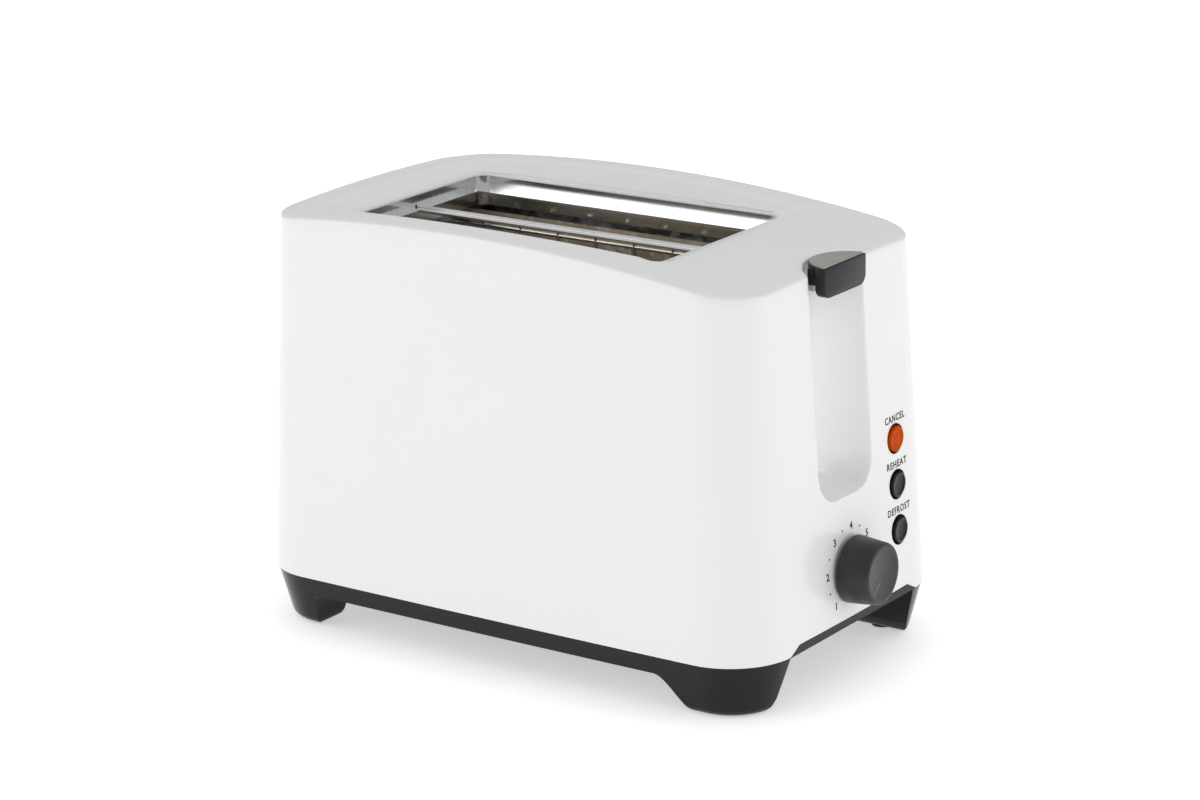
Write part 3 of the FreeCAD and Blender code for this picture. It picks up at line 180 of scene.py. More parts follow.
def brushed(name, colour, roughness, along, dark=0.82):
    """Rolled or brushed metal with fine lines along one axis."""
    paint = Paint(name, colour, roughness, metallic=1.0)
    scales = [900.0, 900.0, 900.0]
    scales["xyz".index(along)] = 12.0
    lines = paint.noise(1.0, 3, 0.6, paint.stretched(*scales))
    blotch = paint.noise(26, 4)
    shade = tuple(c * dark for c in colour)
    streaks = paint.range(lines * 0.6 + blotch * 0.4, 0.35, 0.65, 0, 1)
    paint.put("Base Color", paint.mix(streaks, shade, colour))
    paint.put("Roughness", paint.range(lines, 0.3, 0.7, roughness * 0.8, roughness * 1.3))
    return paint.bump(lines, 0.15, 0.00002)


def galvanised(name):
    """Zinc-coated sheet with a spangle of pale and darker crystals."""
    paint = Paint(name, (0.56, 0.57, 0.58), 0.36, metallic=1.0)
    spangle = paint.node("ShaderNodeTexVoronoi", {"feature": "F1"}, Vector=paint.place, Scale=240.0,
                         output="Color")
    level = paint.node("ShaderNodeSeparateColor", {}, spangle)
    paint.put("Base Color", paint.mix(level, (0.42, 0.43, 0.45), (0.66, 0.67, 0.68)))
    paint.put("Roughness", paint.range(level, 0, 1, 0.28, 0.5))
    return paint.bump(paint.noise(400, 2), 0.1, 0.00002)


def mica_sheet(name):
    """Pressed mica: tan board with silvery and brown flakes."""
    paint = Paint(name, (0.5, 0.42, 0.31), 0.45, coat=0.2)
    flakes = paint.node("ShaderNodeTexVoronoi", {"feature": "F1"}, Vector=paint.place, Scale=420.0,
                        output="Color")
    level = paint.node("ShaderNodeSeparateColor", {}, flakes)
    cloud = paint.noise(40, 5)
    base = paint.mix(paint.range(cloud, 0.35, 0.65, 0, 1), (0.44, 0.35, 0.24), (0.60, 0.52, 0.40))
    paint.put("Base Color", paint.mix(paint.range(level, 0.75, 1, 0, 0.7), base, (0.78, 0.75, 0.68)))
    paint.put("Roughness", paint.range(level, 0, 1, 0.3, 0.6))
    return paint.bump(level, 0.2, 0.00005)


def hot_ribbon(name):
    """Resistance ribbon, blued and oxidised by heat in bands."""
    paint = Paint(name, (0.32, 0.29, 0.28), 0.42, metallic=1.0)
    bands = paint.noise(1.0, 4, 0.5, paint.stretched(90, 5, 30))
    paint.put("Base Color", paint.node("ShaderNodeValToRGB", {"stops": [
        (0.3, (0.20, 0.18, 0.17)), (0.5, (0.36, 0.30, 0.26)), (0.7, (0.25, 0.25, 0.30))]}, bands))
    paint.put("Roughness", paint.range(bands, 0.3, 0.7, 0.3, 0.6))
    return paint.bump(bands, 0.1, 0.00002)


def plated_wire(name):
    """Drawn wire with bright plating and a straw heat tint."""
    paint = Paint(name, (0.74, 0.74, 0.73), 0.18, metallic=1.0)
    tint = paint.noise(1.0, 3, 0.5, paint.stretched(20, 20, 35))
    paint.put("Base Color", paint.mix(paint.range(tint, 0.4, 0.7, 0, 1), (0.76, 0.76, 0.76),
                                      (0.66, 0.58, 0.46)))
    paint.put("Roughness", paint.range(tint, 0.3, 0.7, 0.12, 0.3))
    return paint.bump(paint.noise(1400, 2), 0.08, 0.00001)


def amber_plastic(name):
    """Tinted see-through plastic over a lamp."""
    paint = Paint(name, (0.62, 0.10, 0.002), 0.16, ior=1.1)
    glow = paint.noise(160, 3)
    paint.put("Base Color", paint.mix(paint.range(glow, 0.3, 0.7, 0, 1), (0.48, 0.050, 0.0),
                                      (0.62, 0.085, 0.0)))
    paint.put("Roughness", paint.range(glow, 0.3, 0.7, 0.1, 0.2))
    return paint.bump(paint.noise(500, 2), 0.08, 0.00002)


def wound_copper(name):
    """A winding: fine turns of enamelled copper wire round z."""
    paint = Paint(name, (0.62, 0.27, 0.11), 0.32, metallic=0.8, coat=0.4)
    turns = paint.node("ShaderNodeTexWave", {"wave_type": "BANDS", "bands_direction": "Z"},
                       Vector=paint.place, Scale=620.0, Distortion=0.4, output="Fac")
    paint.put("Base Color", paint.mix(turns, (0.34, 0.12, 0.05), (0.72, 0.33, 0.14)))
    paint.put("Roughness", paint.range(turns, 0, 1, 0.45, 0.25))
    return paint.bump(turns, 0.6, 0.0001)


def laminate(name):
    """Circuit board laminate with copper tracks showing through the lacquer."""
    paint = Paint(name, (0.30, 0.22, 0.09), 0.4, coat=0.3)
    tracks = paint.node("ShaderNodeTexBrick", {"offset": 0.5}, Vector=paint.place, Scale=90.0,
                        Mortar_Size=0.03, output="Fac")
    fibre = paint.noise(300, 4)
    board = paint.mix(fibre, (0.26, 0.18, 0.07), (0.36, 0.27, 0.12))
    paint.put("Base Color", paint.mix(tracks, board, (0.45, 0.36, 0.16)))
    paint.put("Roughness", paint.range(fibre, 0.3, 0.7, 0.35, 0.5))
    return paint.bump(tracks, 0.2, 0.00005)


PAINTS = {
    "white_plastic": moulded("white gloss plastic", (0.86, 0.86, 0.865), 0.24, 260, coat=0.25, fleck=0.003,
                             depth=0.000001, spread=0.02),
    "dark_plastic": moulded("near black gloss plastic", (0.006, 0.006, 0.007), 0.16, 900, fleck=0.15,
                            depth=0.00002, ior=1.33),
    "pad_rubber": moulded("foot rubber", (0.06, 0.06, 0.062), 0.75, 1500, fleck=0.2, depth=0.0001),
    "screw_steel": brushed("zinc plated steel", (0.56, 0.56, 0.57), 0.35, "z"),
    "bright_steel": brushed("bright rolled steel", (0.80, 0.81, 0.82), 0.16, "x"),
    "plated_steel": galvanised("galvanised sheet"),
    "mica": mica_sheet("mica sheet"),
    "ribbon": hot_ribbon("oxidised heating ribbon"),
    "guard_wire": plated_wire("plated guard wire"),
    "spring_steel": brushed("spring wire", (0.60, 0.60, 0.61), 0.28, "z"),
    "lever_plastic": moulded("lever satin plastic", (0.012, 0.013, 0.016), 0.34, 1400, fleck=0.1,
                             depth=0.00004, ior=1.33),
    "lever_metal": brushed("brushed thumb pad", (0.44, 0.43, 0.40), 0.34, "y", dark=0.88),
    "knob_plastic": moulded("knob satin plastic", (0.012, 0.012, 0.013), 0.40, 1300, fleck=0.12,
                            depth=0.00004),
    "button_plastic": moulded("key gloss plastic", (0.005, 0.005, 0.006), 0.2, 1100, fleck=0.15, ior=1.3),
    "amber_plastic": amber_plastic("amber key plastic"),
    "board_laminate": laminate("circuit board laminate"),
    "component_black": moulded("component moulding", (0.03, 0.03, 0.03), 0.5, 1600, fleck=0.25,
                               depth=0.00006),
    "copper_wire": wound_copper("copper winding"),
    "bobbin_nylon": moulded("natural nylon", (0.78, 0.76, 0.68), 0.42, 900, fleck=0.05),
    "print_ink": moulded("printed lettering", (0.006, 0.006, 0.007), 0.55, 2000, fleck=0.3, depth=0.00001),
    "knob_line": moulded("filled pointer line", (0.20, 0.20, 0.20), 0.5, 1500, fleck=0.1),
}


def finish_nodes():
    """Every node of the frame gets the finish of its slot."""
    for entry in frame["record"]["subparts"]:
        piece = frame["nodes"][entry["node"]]
        material = PAINTS[entry["material_slot"]].material
        if not piece.data.materials:
            piece.data.materials.append(material)
        for index in range(len(piece.data.materials)):
            piece.data.materials[index] = material


finish_nodes()


# ---------------------------------------------------------------- helpers
def keep(mesh, name, paint, body, replaced=(), smooth=35):
    """Turn a bmesh drawn in millimetres from the middle of the shell into a piece of the toaster."""
    bmesh.ops.scale(mesh, vec=(MM, MM, MM), verts=mesh.verts)
    bmesh.ops.translate(mesh, vec=(MIDDLE_X, 0, 0), verts=mesh.verts)
    for face in mesh.faces:
        face.smooth = True
    for edge in mesh.edges:
        if len(edge.link_faces) == 2:
            edge.smooth = edge.calc_face_angle(0) < radians(smooth)
    data = bpy.data.meshes.new(name)
    mesh.to_mesh(data)
    mesh.free()
    data.materials.append(PAINTS[paint].material)
    piece = bpy.data.objects.new(name, data)
    scene.collection.objects.link(piece)
    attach(piece, body)
    if replaced:
        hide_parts(*replaced)
    return piece


# ------------------------------------------------------------------ shell
EDGE_HEIGHT = 24.0
END_DRAFT, SIDE_DRAFT = 0.058, 0.040
END_FLAT = 50.0
WALL = 2.4
TOP_PEAK, TOP_PEAK_X, TOP_ARC, TOP_CROWN = 186.8, -22.5, 878.0, 1235.0
EDGE_ROUND = 1.6
END_BOW, SIDE_BOW = 0.012, 0.009
LIP_HEIGHT, LIP_SKIRT, LIP_CURL, SKIRT_THICK = 178.0, 5.0, 0.8, 1.8
SLOPE_BLEND, SLOPE_BLEND_AT_LEVER = 0.9, 2.2
RECESS_RISE = 12.0
LIP = (93.0, 66.0, 48.0, 7.0)                        # rear, front, side, corner
RECESS_GROWTH = (28.0, 40.0, 17.6, 17.0)
CONTROLS_Y = -2.0
CHANNEL_HALF, CHANNEL_BOTTOM, CHANNEL_CORNER, CHANNEL_FLOOR = 20.5, 79.0, 13.0, 110.4
CHANNEL_SCOOP_END, CHANNEL_EDGE = 9.0, 0.5
NOTCH_HALF, NOTCH_SLANT, NOTCH_RISE = 50.0, 7.0, 3.5
CORNER_STEPS = 14


def steps(low, high, pitch):
    """Evenly spaced values from low up to, but without, high."""
    count = max(1, round((high - low) / pitch))
    return [low + (high - low) * index / count for index in range(count)]


def columns():
    """Places round the shell: (stretch, share) with the lever end's places closest together."""
    near, far = CONTROLS_Y - CHANNEL_HALF, CONTROLS_Y + CHANNEL_HALF
    end = (steps(-END_FLAT, -NOTCH_HALF, 2.7) + steps(-NOTCH_HALF, -NOTCH_HALF + NOTCH_SLANT, 1.0)
           + steps(-NOTCH_HALF + NOTCH_SLANT, near - 3, 2.7) + steps(near - 3, near + 5, 0.55)
           + steps(near + 5, far - 5, 1.5) + steps(far - 5, far + 3, 0.55)
           + steps(far + 3, NOTCH_HALF - NOTCH_SLANT, 2.7) + steps(NOTCH_HALF - NOTCH_SLANT, NOTCH_HALF, 1.0)
           + steps(NOTCH_HALF, END_FLAT, 2.7))
    rear = (steps(-END_FLAT, -NOTCH_HALF, 4) + steps(-NOTCH_HALF, -NOTCH_HALF + NOTCH_SLANT, 1.0)
            + steps(-NOTCH_HALF + NOTCH_SLANT, NOTCH_HALF - NOTCH_SLANT, 6)
            + steps(NOTCH_HALF - NOTCH_SLANT, NOTCH_HALF, 1.0) + steps(NOTCH_HALF, END_FLAT, 4))
    turn = [index / CORNER_STEPS for index in range(CORNER_STEPS)]
    side = steps(-1, 1, 0.06)
    return ([(0, y / END_FLAT) for y in end] + [(1, a) for a in turn] + [(2, -s) for s in side]
            + [(3, a) for a in turn] + [(4, -y / END_FLAT) for y in rear] + [(5, a) for a in turn]
            + [(6, s) for s in side] + [(7, a) for a in turn])


def plan_point(place, rear, front, side, corner):
    """A place on a rectangle with round corners, bowed a little on every side."""
    stretch, share = place
    if stretch in (0, 4):
        x, y = (front, share * (side - corner)) if stretch == 0 else (-rear, share * (side - corner))
    elif stretch in (2, 6):
        middle, half = (front - rear) / 2, (front + rear) / 2 - corner
        x, y = middle + share * half, side if stretch == 2 else -side
    else:
        angle = {1: 0, 3: 90, 5: 180, 7: 270}[stretch] + 90 * share
        x = (front - corner if stretch in (1, 7) else corner - rear) + corner * cos(radians(angle))
        y = (side - corner if stretch in (1, 3) else corner - side) + corner * sin(radians(angle))
    return x * (1 - END_BOW * (y / HALF_WIDTH) ** 2), y * (1 - SIDE_BOW * (x / HALF_LENGTH) ** 2)


def top_height(x, y):
    """The arched and slightly crowned top."""
    return TOP_PEAK - TOP_ARC + sqrt(TOP_ARC ** 2 - (x - TOP_PEAK_X) ** 2) - y * y / (2 * TOP_CROWN)


def blunt_max(value, blend):
    """max(value, 0) with a round bend."""
    return (value + sqrt(value * value + blend * blend)) / 2


def end_x(y, z):
    """The lever end's face, before its channel."""
    return (HALF_LENGTH - END_DRAFT * (z - EDGE_HEIGHT)) * (1 - END_BOW * (y / HALF_WIDTH) ** 2)


def channel_depth(y, z):
    """How deep the lever channel is at a place of the end face."""
    deep = end_x(y, z) - CHANNEL_FLOOR
    scoop = (CHANNEL_HALF ** 2 + deep ** 2) / (2 * deep)
    aside = abs(y - CONTROLS_Y)
    if aside < CHANNEL_HALF:
        depth = sqrt(scoop ** 2 - aside ** 2) - (scoop - deep)
    else:
        depth = -(aside - CHANNEL_HALF) * 2
    over = max(0.0, min(aside, CHANNEL_HALF) - (CHANNEL_HALF - CHANNEL_CORNER))
    foot = CHANNEL_BOTTOM + CHANNEL_CORNER - sqrt(CHANNEL_CORNER ** 2 - min(over, CHANNEL_CORNER) ** 2)
    rise = (z - foot) / CHANNEL_SCOOP_END
    if rise < 0:
        return blunt_max(min(depth, rise * CHANNEL_SCOOP_END * 2), CHANNEL_EDGE)
    if rise < 1 and depth > 0:
        depth *= sqrt(1 - (1 - rise) ** 2)
    return blunt_max(depth, CHANNEL_EDGE)


def side_point(place, z, gap):
    """A place on the upright walls at a height, moved inwards by a gap."""
    front = HALF_LENGTH - END_DRAFT * (z - EDGE_HEIGHT)
    side = HALF_WIDTH - SIDE_DRAFT * (z - EDGE_HEIGHT)
    x, y = plan_point(place, front - gap, front - gap, side - gap, side - END_FLAT)
    if place[0] == 0:
        x -= channel_depth(y, z)
    return x, y


def bottom_height(place):
    """The lower edge, which steps up over the ends."""
    if place[0] not in (0, 4):
        return EDGE_HEIGHT
    inside = (NOTCH_HALF - abs(place[1]) * END_FLAT) / NOTCH_SLANT
    return EDGE_HEIGHT + NOTCH_RISE * max(0.0, min(1.0, inside))


def shell_rows():
    """Rows from the lower edge up the outside, over the top, down into the slot surround and back inside."""
    lower = [("out", share) for share in [z / 52 * 0.345 for z in steps(0, 52, 5)]]
    scoop = [("out", share) for share in steps(0.345, 0.49, 0.0052)]
    upper = [("out", share) for share in steps(0.49, 1.0, 0.026)]
    edge = [("edge", angle) for angle in (0, 22.5, 45, 67.5, 90)]
    flat = [("flat", share) for share in (0.06, 0.15, 0.28, 0.42, 0.56, 0.70, 0.80, 0.88, 0.94, 0.975)]
    slope = [("slope", share) for share in (1.0, 0.93, 0.84, 0.72, 0.56, 0.38, 0.2, 0.1)]
    lip = [("lip", angle) for angle in (0, 30, 60, 90)]
    under = [("skirt", 0), ("skirt", 1), ("under", 0), ("under", 1)]
    inner = [("in", share) for share in steps(0.0, 1.0, 0.035)] + [("in", 1.0)]
    return lower + scoop + upper + edge + flat + slope + lip + under + inner


def shell_point(place, kind, share, facts):
    """Where a row crosses a column."""
    top_z, meet, near, slope_rate = facts
    low = bottom_height(place)
    blend = SLOPE_BLEND_AT_LEVER if place[0] in (0, 1, 7) else SLOPE_BLEND
    if kind in ("out", "in"):
        gap = 0 if kind == "out" else WALL
        high = top_z - (EDGE_ROUND if kind == "out" else WALL)
        z = low + (high - low) * (share if kind == "out" else 1 - share)
        return (*side_point(place, z, gap), z)
    if kind == "edge":
        z = top_z - EDGE_ROUND * (1 - sin(radians(share)))
        return (*side_point(place, top_z - EDGE_ROUND, EDGE_ROUND * (1 - cos(radians(share)))), z)
    if kind == "flat":
        start = side_point(place, top_z - EDGE_ROUND, EDGE_ROUND)
        x, y = (start[i] + (near[i] - start[i]) * share for i in (0, 1))
        away = hypot(x - near[0], y - near[1])
        roof = top_height(x, y)
        return x, y, roof - blunt_max(roof - (near[2] + away * slope_rate), blend)
    rect = [LIP[i] + RECESS_GROWTH[i] * meet * (share if kind == "slope" else 0) for i in range(4)]
    if kind == "slope":
        x, y = plan_point(place, *rect)
        roof = top_height(x, y)
        return x, y, roof - blunt_max(roof - (LIP_HEIGHT + RECESS_RISE * meet * share), blend)
    if kind == "lip":
        grown = LIP_CURL * (1 - sin(radians(share)))
        x, y = plan_point(place, *[size + grown for size in LIP])
        return x, y, LIP_HEIGHT - LIP_CURL * (1 - cos(radians(share)))
    if kind == "skirt":
        x, y = plan_point(place, *[size + SKIRT_THICK * share for size in LIP])
        return x, y, LIP_HEIGHT - LIP_SKIRT
    if share == 0:
        x, y = plan_point(place, *[size + SKIRT_THICK for size in LIP])
        return x, y, LIP_HEIGHT - WALL
    x, y = plan_point(place, *[LIP[i] + RECESS_GROWTH[i] * meet for i in range(4)])
    return x, y, near[2] - WALL


def column_facts(place):
    """For one column: its top edge, and where the slot surround's slope meets the arched top."""
    z = TOP_PEAK - 8
    for _ in range(4):
        z = top_height(*side_point(place, z - EDGE_ROUND, 0))
    low, high = 0.0, 1.0
    for _ in range(30):
        middle = (low + high) / 2
        rect = [LIP[i] + RECESS_GROWTH[i] * middle for i in range(4)]
        if LIP_HEIGHT + RECESS_RISE * middle < top_height(*plan_point(place, *rect)):
            low = middle
        else:
            high = middle
    rim = plan_point(place, *[LIP[i] + RECESS_GROWTH[i] * low for i in range(4)])
    lip = plan_point(place, *LIP)
    run = hypot(rim[0] - lip[0], rim[1] - lip[1])
    near = (*rim, LIP_HEIGHT + RECESS_RISE * low)
    return z, low, near, RECESS_RISE * low / run


def outer_shell():
    """The white shell: one sheet wrapped round the columns and rows, then opened for the controls."""
    around, rows = columns(), shell_rows()
    facts = [column_facts(place) for place in around]
    across, up = len(around), len(rows)
    mesh = bmesh.new()
    bmesh.ops.create_grid(mesh, x_segments=across, y_segments=up, size=0.5)
    for vertex in mesh.verts:
        column = round((vertex.co.x + 0.5) * across) % across
        row = round((vertex.co.y + 0.5) * up) % up
        vertex.co = shell_point(around[column], *rows[row], facts[column])
    bmesh.ops.remove_doubles(mesh, verts=mesh.verts, dist=0.0005)
    bmesh.ops.recalc_face_normals(mesh, faces=mesh.faces)
    shell = keep(mesh, "shell", "white_plastic", "housing", ["outer_shell"], smooth=50)
    carve(shell, shell_openings())


def carve(piece, cutter):
    """Cut a cutter's solids out of a piece."""
    modifier = piece.modifiers.new("openings", "BOOLEAN")
    modifier.operation, modifier.solver, modifier.object = "DIFFERENCE", "EXACT", cutter
    evaluated = piece.evaluated_get(bpy.context.evaluated_depsgraph_get())
    cut = bpy.data.meshes.new_from_object(evaluated)
    piece.modifiers.clear()
    piece.data = cut
    bpy.data.objects.remove(cutter)


def add_block(mesh, low, high):
    """A plain block between two corners."""
    made = bmesh.ops.create_cube(mesh, size=1)["verts"]
    size = [high[i] - low[i] for i in range(3)]
    bmesh.ops.scale(mesh, vec=size, verts=made)
    bmesh.ops.translate(mesh, vec=[(high[i] + low[i]) / 2 for i in range(3)], verts=made)


def add_round(mesh, x, y, z, radius, length):
    """A plain round along x, for cutting."""
    turn = Matrix.Translation((x + length / 2, y, z)) @ Matrix.Rotation(pi / 2, 4, "Y")
    bmesh.ops.create_cone(mesh, cap_ends=True, segments=48, radius1=radius, radius2=radius, depth=length,
                          matrix=turn)


def as_cutter(mesh):
    """A scratch object in the scene's own units from a mesh drawn in millimetres."""
    bmesh.ops.recalc_face_normals(mesh, faces=mesh.faces)
    bmesh.ops.scale(mesh, vec=(MM, MM, MM), verts=mesh.verts)
    bmesh.ops.translate(mesh, vec=(MIDDLE_X, 0, 0), verts=mesh.verts)
    data = bpy.data.meshes.new("cutter")
    mesh.to_mesh(data)
    mesh.free()
    cutter = bpy.data.objects.new("cutter", data)
    scene.collection.objects.link(cutter)
    return cutter


BUTTON_Y, BUTTON_LOW, BUTTON_PITCH, BUTTON_RADIUS = 38.2, 52.7, 19.65, 5.5
RING_OUTER = 6.4
KNOB_Z = 47.8
ARM_Y, ARM_SLOT_HALF, ARM_SLOT_TOP = -15.0, 2.3, 174.5
TRAY_GAP = 1


def in_shell(node, axis, end):
    """One face of a CAD node's box in millimetres from the middle of the shell."""
    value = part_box(node)[end][axis]
    return (value - (MIDDLE_X if axis == 0 else 0)) / MM


def shell_openings():
    """The lever arm's slot, the holes for keys and knob, and the crumb tray's mouth."""
    mesh = bmesh.new()
    add_block(mesh, (CHANNEL_FLOOR - 6, ARM_Y - ARM_SLOT_HALF, CHANNEL_BOTTOM + 4),
              (CHANNEL_FLOOR + 12, ARM_Y + ARM_SLOT_HALF, ARM_SLOT_TOP))
    for index in range(3):
        add_round(mesh, HALF_LENGTH - 15, BUTTON_Y, BUTTON_LOW + index * BUTTON_PITCH, RING_OUTER + 0.1, 25)
    add_round(mesh, HALF_LENGTH - 15, CONTROLS_Y, KNOB_Z, 4, 25)
    tray_low, tray_high = in_shell("crumb_tray", 2, 0), in_shell("crumb_tray", 2, 1)
    tray_side = in_shell("crumb_tray", 1, 1)
    add_block(mesh, (-HALF_LENGTH - 5, -tray_side - TRAY_GAP, tray_low - TRAY_GAP),
              (-HALF_LENGTH + 10, tray_side + TRAY_GAP, tray_high + TRAY_GAP))
    return as_cutter(mesh)


outer_shell()


# ------------------------------------------------------------------- base
FLOOR_UNDERSIDE, BASE_TAPER, BASE_INSET = 15.5, 6.5, 0.5
PAD_THICK, FOOT_ROUND, FOOT_WALL, RIM_WALL = 0.5, 3.4, 3.2, 2.4
RIM_GAP, RIM_TOP = 2.7, 31.0
FRONT_FOOT, FRONT_RUN, REAR_FOOT = 96.0, 18.0, -97.0
END_FOOT, END_RUN = 52.5, 2.6
NOTCH_DEPTH, BASE_CORNER_STEPS = 12.0, 16
STRIP_GAP = 0.2
BOSS_X, BOSS_Y = HALF_LENGTH - 70, HALF_WIDTH - 15.9
WELL_RADIUS, SCREW_RADIUS = 3.6, 1.9
INLET_X, INLET_Y, INLET_RADIUS = -96, 30, 6.05
VENT_PITCH, VENT_HALF, VENT_REACH = 14, 2.5, 35


def base_ring(z, inset):
    """A ring of the base's outline at a height."""
    ends = [y / END_FLAT for y in steps(-END_FLAT, END_FLAT, 8)]
    sides, turn = steps(-1, 1, 0.09), [index / BASE_CORNER_STEPS for index in range(BASE_CORNER_STEPS)]
    places = ([(0, y) for y in ends] + [(1, a) for a in turn] + [(2, -s) for s in sides] + [(3, a) for a in turn]
              + [(4, -y) for y in ends] + [(5, a) for a in turn] + [(6, s) for s in sides]
              + [(7, a) for a in turn])
    sizes = (HALF_LENGTH - inset, HALF_LENGTH - inset, HALF_WIDTH - inset, HALF_WIDTH - inset - END_FLAT)
    return [(*plan_point(place, *sizes), z) for place in places]


def ring_solid(mesh, rings):
    """A closed solid through rings of points, from the lowest up."""
    across, up = len(rings[0]), len(rings) - 1
    made = bmesh.ops.create_grid(mesh, x_segments=across, y_segments=up, size=0.5)["verts"]
    for vertex in made:
        column = round((vertex.co.x + 0.5) * across) % across
        vertex.co = rings[round((vertex.co.y + 0.5) * up)][column]
    bmesh.ops.remove_doubles(mesh, verts=made, dist=0.0005)
    bmesh.ops.holes_fill(mesh, edges=[edge for edge in mesh.edges if edge.is_boundary], sides=0)
    bmesh.ops.recalc_face_normals(mesh, faces=mesh.faces)


def extruded(mesh, faces):
    """Extrude faces in place and give the new vertices, to be moved."""
    grown = bmesh.ops.extrude_face_region(mesh, geom=faces)["geom"]
    return [item for item in grown if isinstance(item, bmesh.types.BMVert)]


def add_prism(mesh, points, along, low, high):
    """A profile (across, height) run along x or y from low to high, for cutting."""
    made = bmesh.ops.create_circle(mesh, cap_ends=True, segments=len(points), radius=1)
    face = made["verts"][0].link_faces[0]
    for vertex, (across, z) in zip(face.verts, points):
        vertex.co = (low, across, z) if along == "x" else (across, low, z)
    shift = (high - low, 0, 0) if along == "x" else (0, high - low, 0)
    bmesh.ops.translate(mesh, vec=shift, verts=extruded(mesh, [face]))


def soft_rise(start, run, low, high, count=12):
    """Points of a slope that leaves one level and meets the next with round bends."""
    points = []
    for index in range(count + 1):
        share = index / count
        points.append((start + run * share, low + (high - low) * share * share * (3 - 2 * share)))
    return points


def tunnel_profiles(grow=0.0):
    """The spaces between the feet: along the toaster's side, and across its end."""
    top = FLOOR_UNDERSIDE + grow
    front = soft_rise(FRONT_FOOT + 2 + grow, -FRONT_RUN, 0.2 + grow, top)
    rear = [(REAR_FOOT + 3 - grow, top), (REAR_FOOT + 1.2 - grow, top - 0.7),
            (REAR_FOOT + 0.3 - grow, top - 2.4),
            (REAR_FOOT - grow, 3.0), (REAR_FOOT - 0.6 - grow, 1.4), (REAR_FOOT - 2.0 - grow, 0.4)]
    side = [(FRONT_FOOT + 2 + grow, -3), *front, *rear, (REAR_FOOT - 2.0 - grow, -3)]
    slant = END_RUN / FLOOR_UNDERSIDE
    half = [(END_FOOT + 4.5 + grow, -3), (END_FOOT + 4.5 + grow, 0.4), (END_FOOT + 2.6 + grow, 1.2),
            (END_FOOT + 1.1 + grow, 2.8), (END_FOOT - slant * 6 + grow + 0.2, 6),
            (END_FOOT - END_RUN + slant * 2 + grow, top - 2.2),
            (END_FOOT - END_RUN + grow, top - 0.5), (END_FOOT - END_RUN - 1.5 + grow, top)]
    end = half + [(-y, z) for y, z in reversed(half)]
    return side, end


def notch_profile(grow=0.0):
    """The space above the tunnel under an end edge, whose sides carry on the feet's slope."""
    top = EDGE_HEIGHT + grow
    sides = [(END_FOOT - END_RUN * z / FLOOR_UNDERSIDE + grow, z) for z in (5, FLOOR_UNDERSIDE, top - 1.2)]
    sides.append((sides[-1][0] - 1.5, top))
    return sides + [(-y, z) for y, z in reversed(sides)]


def between_feet(grow=0.0):
    """Cutters for the spaces between the feet and under both end edges, grown for the tub's inner wall."""
    cutters = []
    side, end = tunnel_profiles(grow)
    for along, profile, reach in (("y", side, HALF_WIDTH + 20), ("x", end, HALF_LENGTH + 20)):
        mesh = bmesh.new()
        add_prism(mesh, profile, along, -reach, reach)
        cutters.append(as_cutter(mesh))
    inner = HALF_LENGTH - BASE_INSET - NOTCH_DEPTH - grow
    for low, high in ((inner, inner + 40), (-inner - 40, -inner)):
        mesh = bmesh.new()
        add_prism(mesh, notch_profile(grow), "x", low, high)
        cutters.append(as_cutter(mesh))
    return cutters


def add_rod(mesh, x, y, low, high, radius):
    """An upright round bar, for cutting."""
    bmesh.ops.create_cone(mesh, cap_ends=True, segments=40, radius1=radius, radius2=radius, depth=high - low,
                          matrix=Matrix.Translation((x, y, (high + low) / 2)))


def base_openings():
    """The screw holes and wells, the cord inlet and the vents under the tray."""
    wells, rest = bmesh.new(), bmesh.new()
    for x in (-1, 1):
        for y in (-1, 1):
            add_rod(wells, x * BOSS_X, y * BOSS_Y, 10, FLOOR_UNDERSIDE + 2, WELL_RADIUS)
            add_rod(rest, x * BOSS_X, y * BOSS_Y, 10, 24, SCREW_RADIUS)
    add_rod(rest, INLET_X, INLET_Y, 0, 30, INLET_RADIUS)
    for index in (-3, -2, -1, 1, 2, 3):
        middle = index * VENT_PITCH
        add_block(rest, (-VENT_REACH, middle - VENT_HALF, 14), (VENT_REACH, middle + VENT_HALF, 19))
    return [as_cutter(wells), as_cutter(rest)]


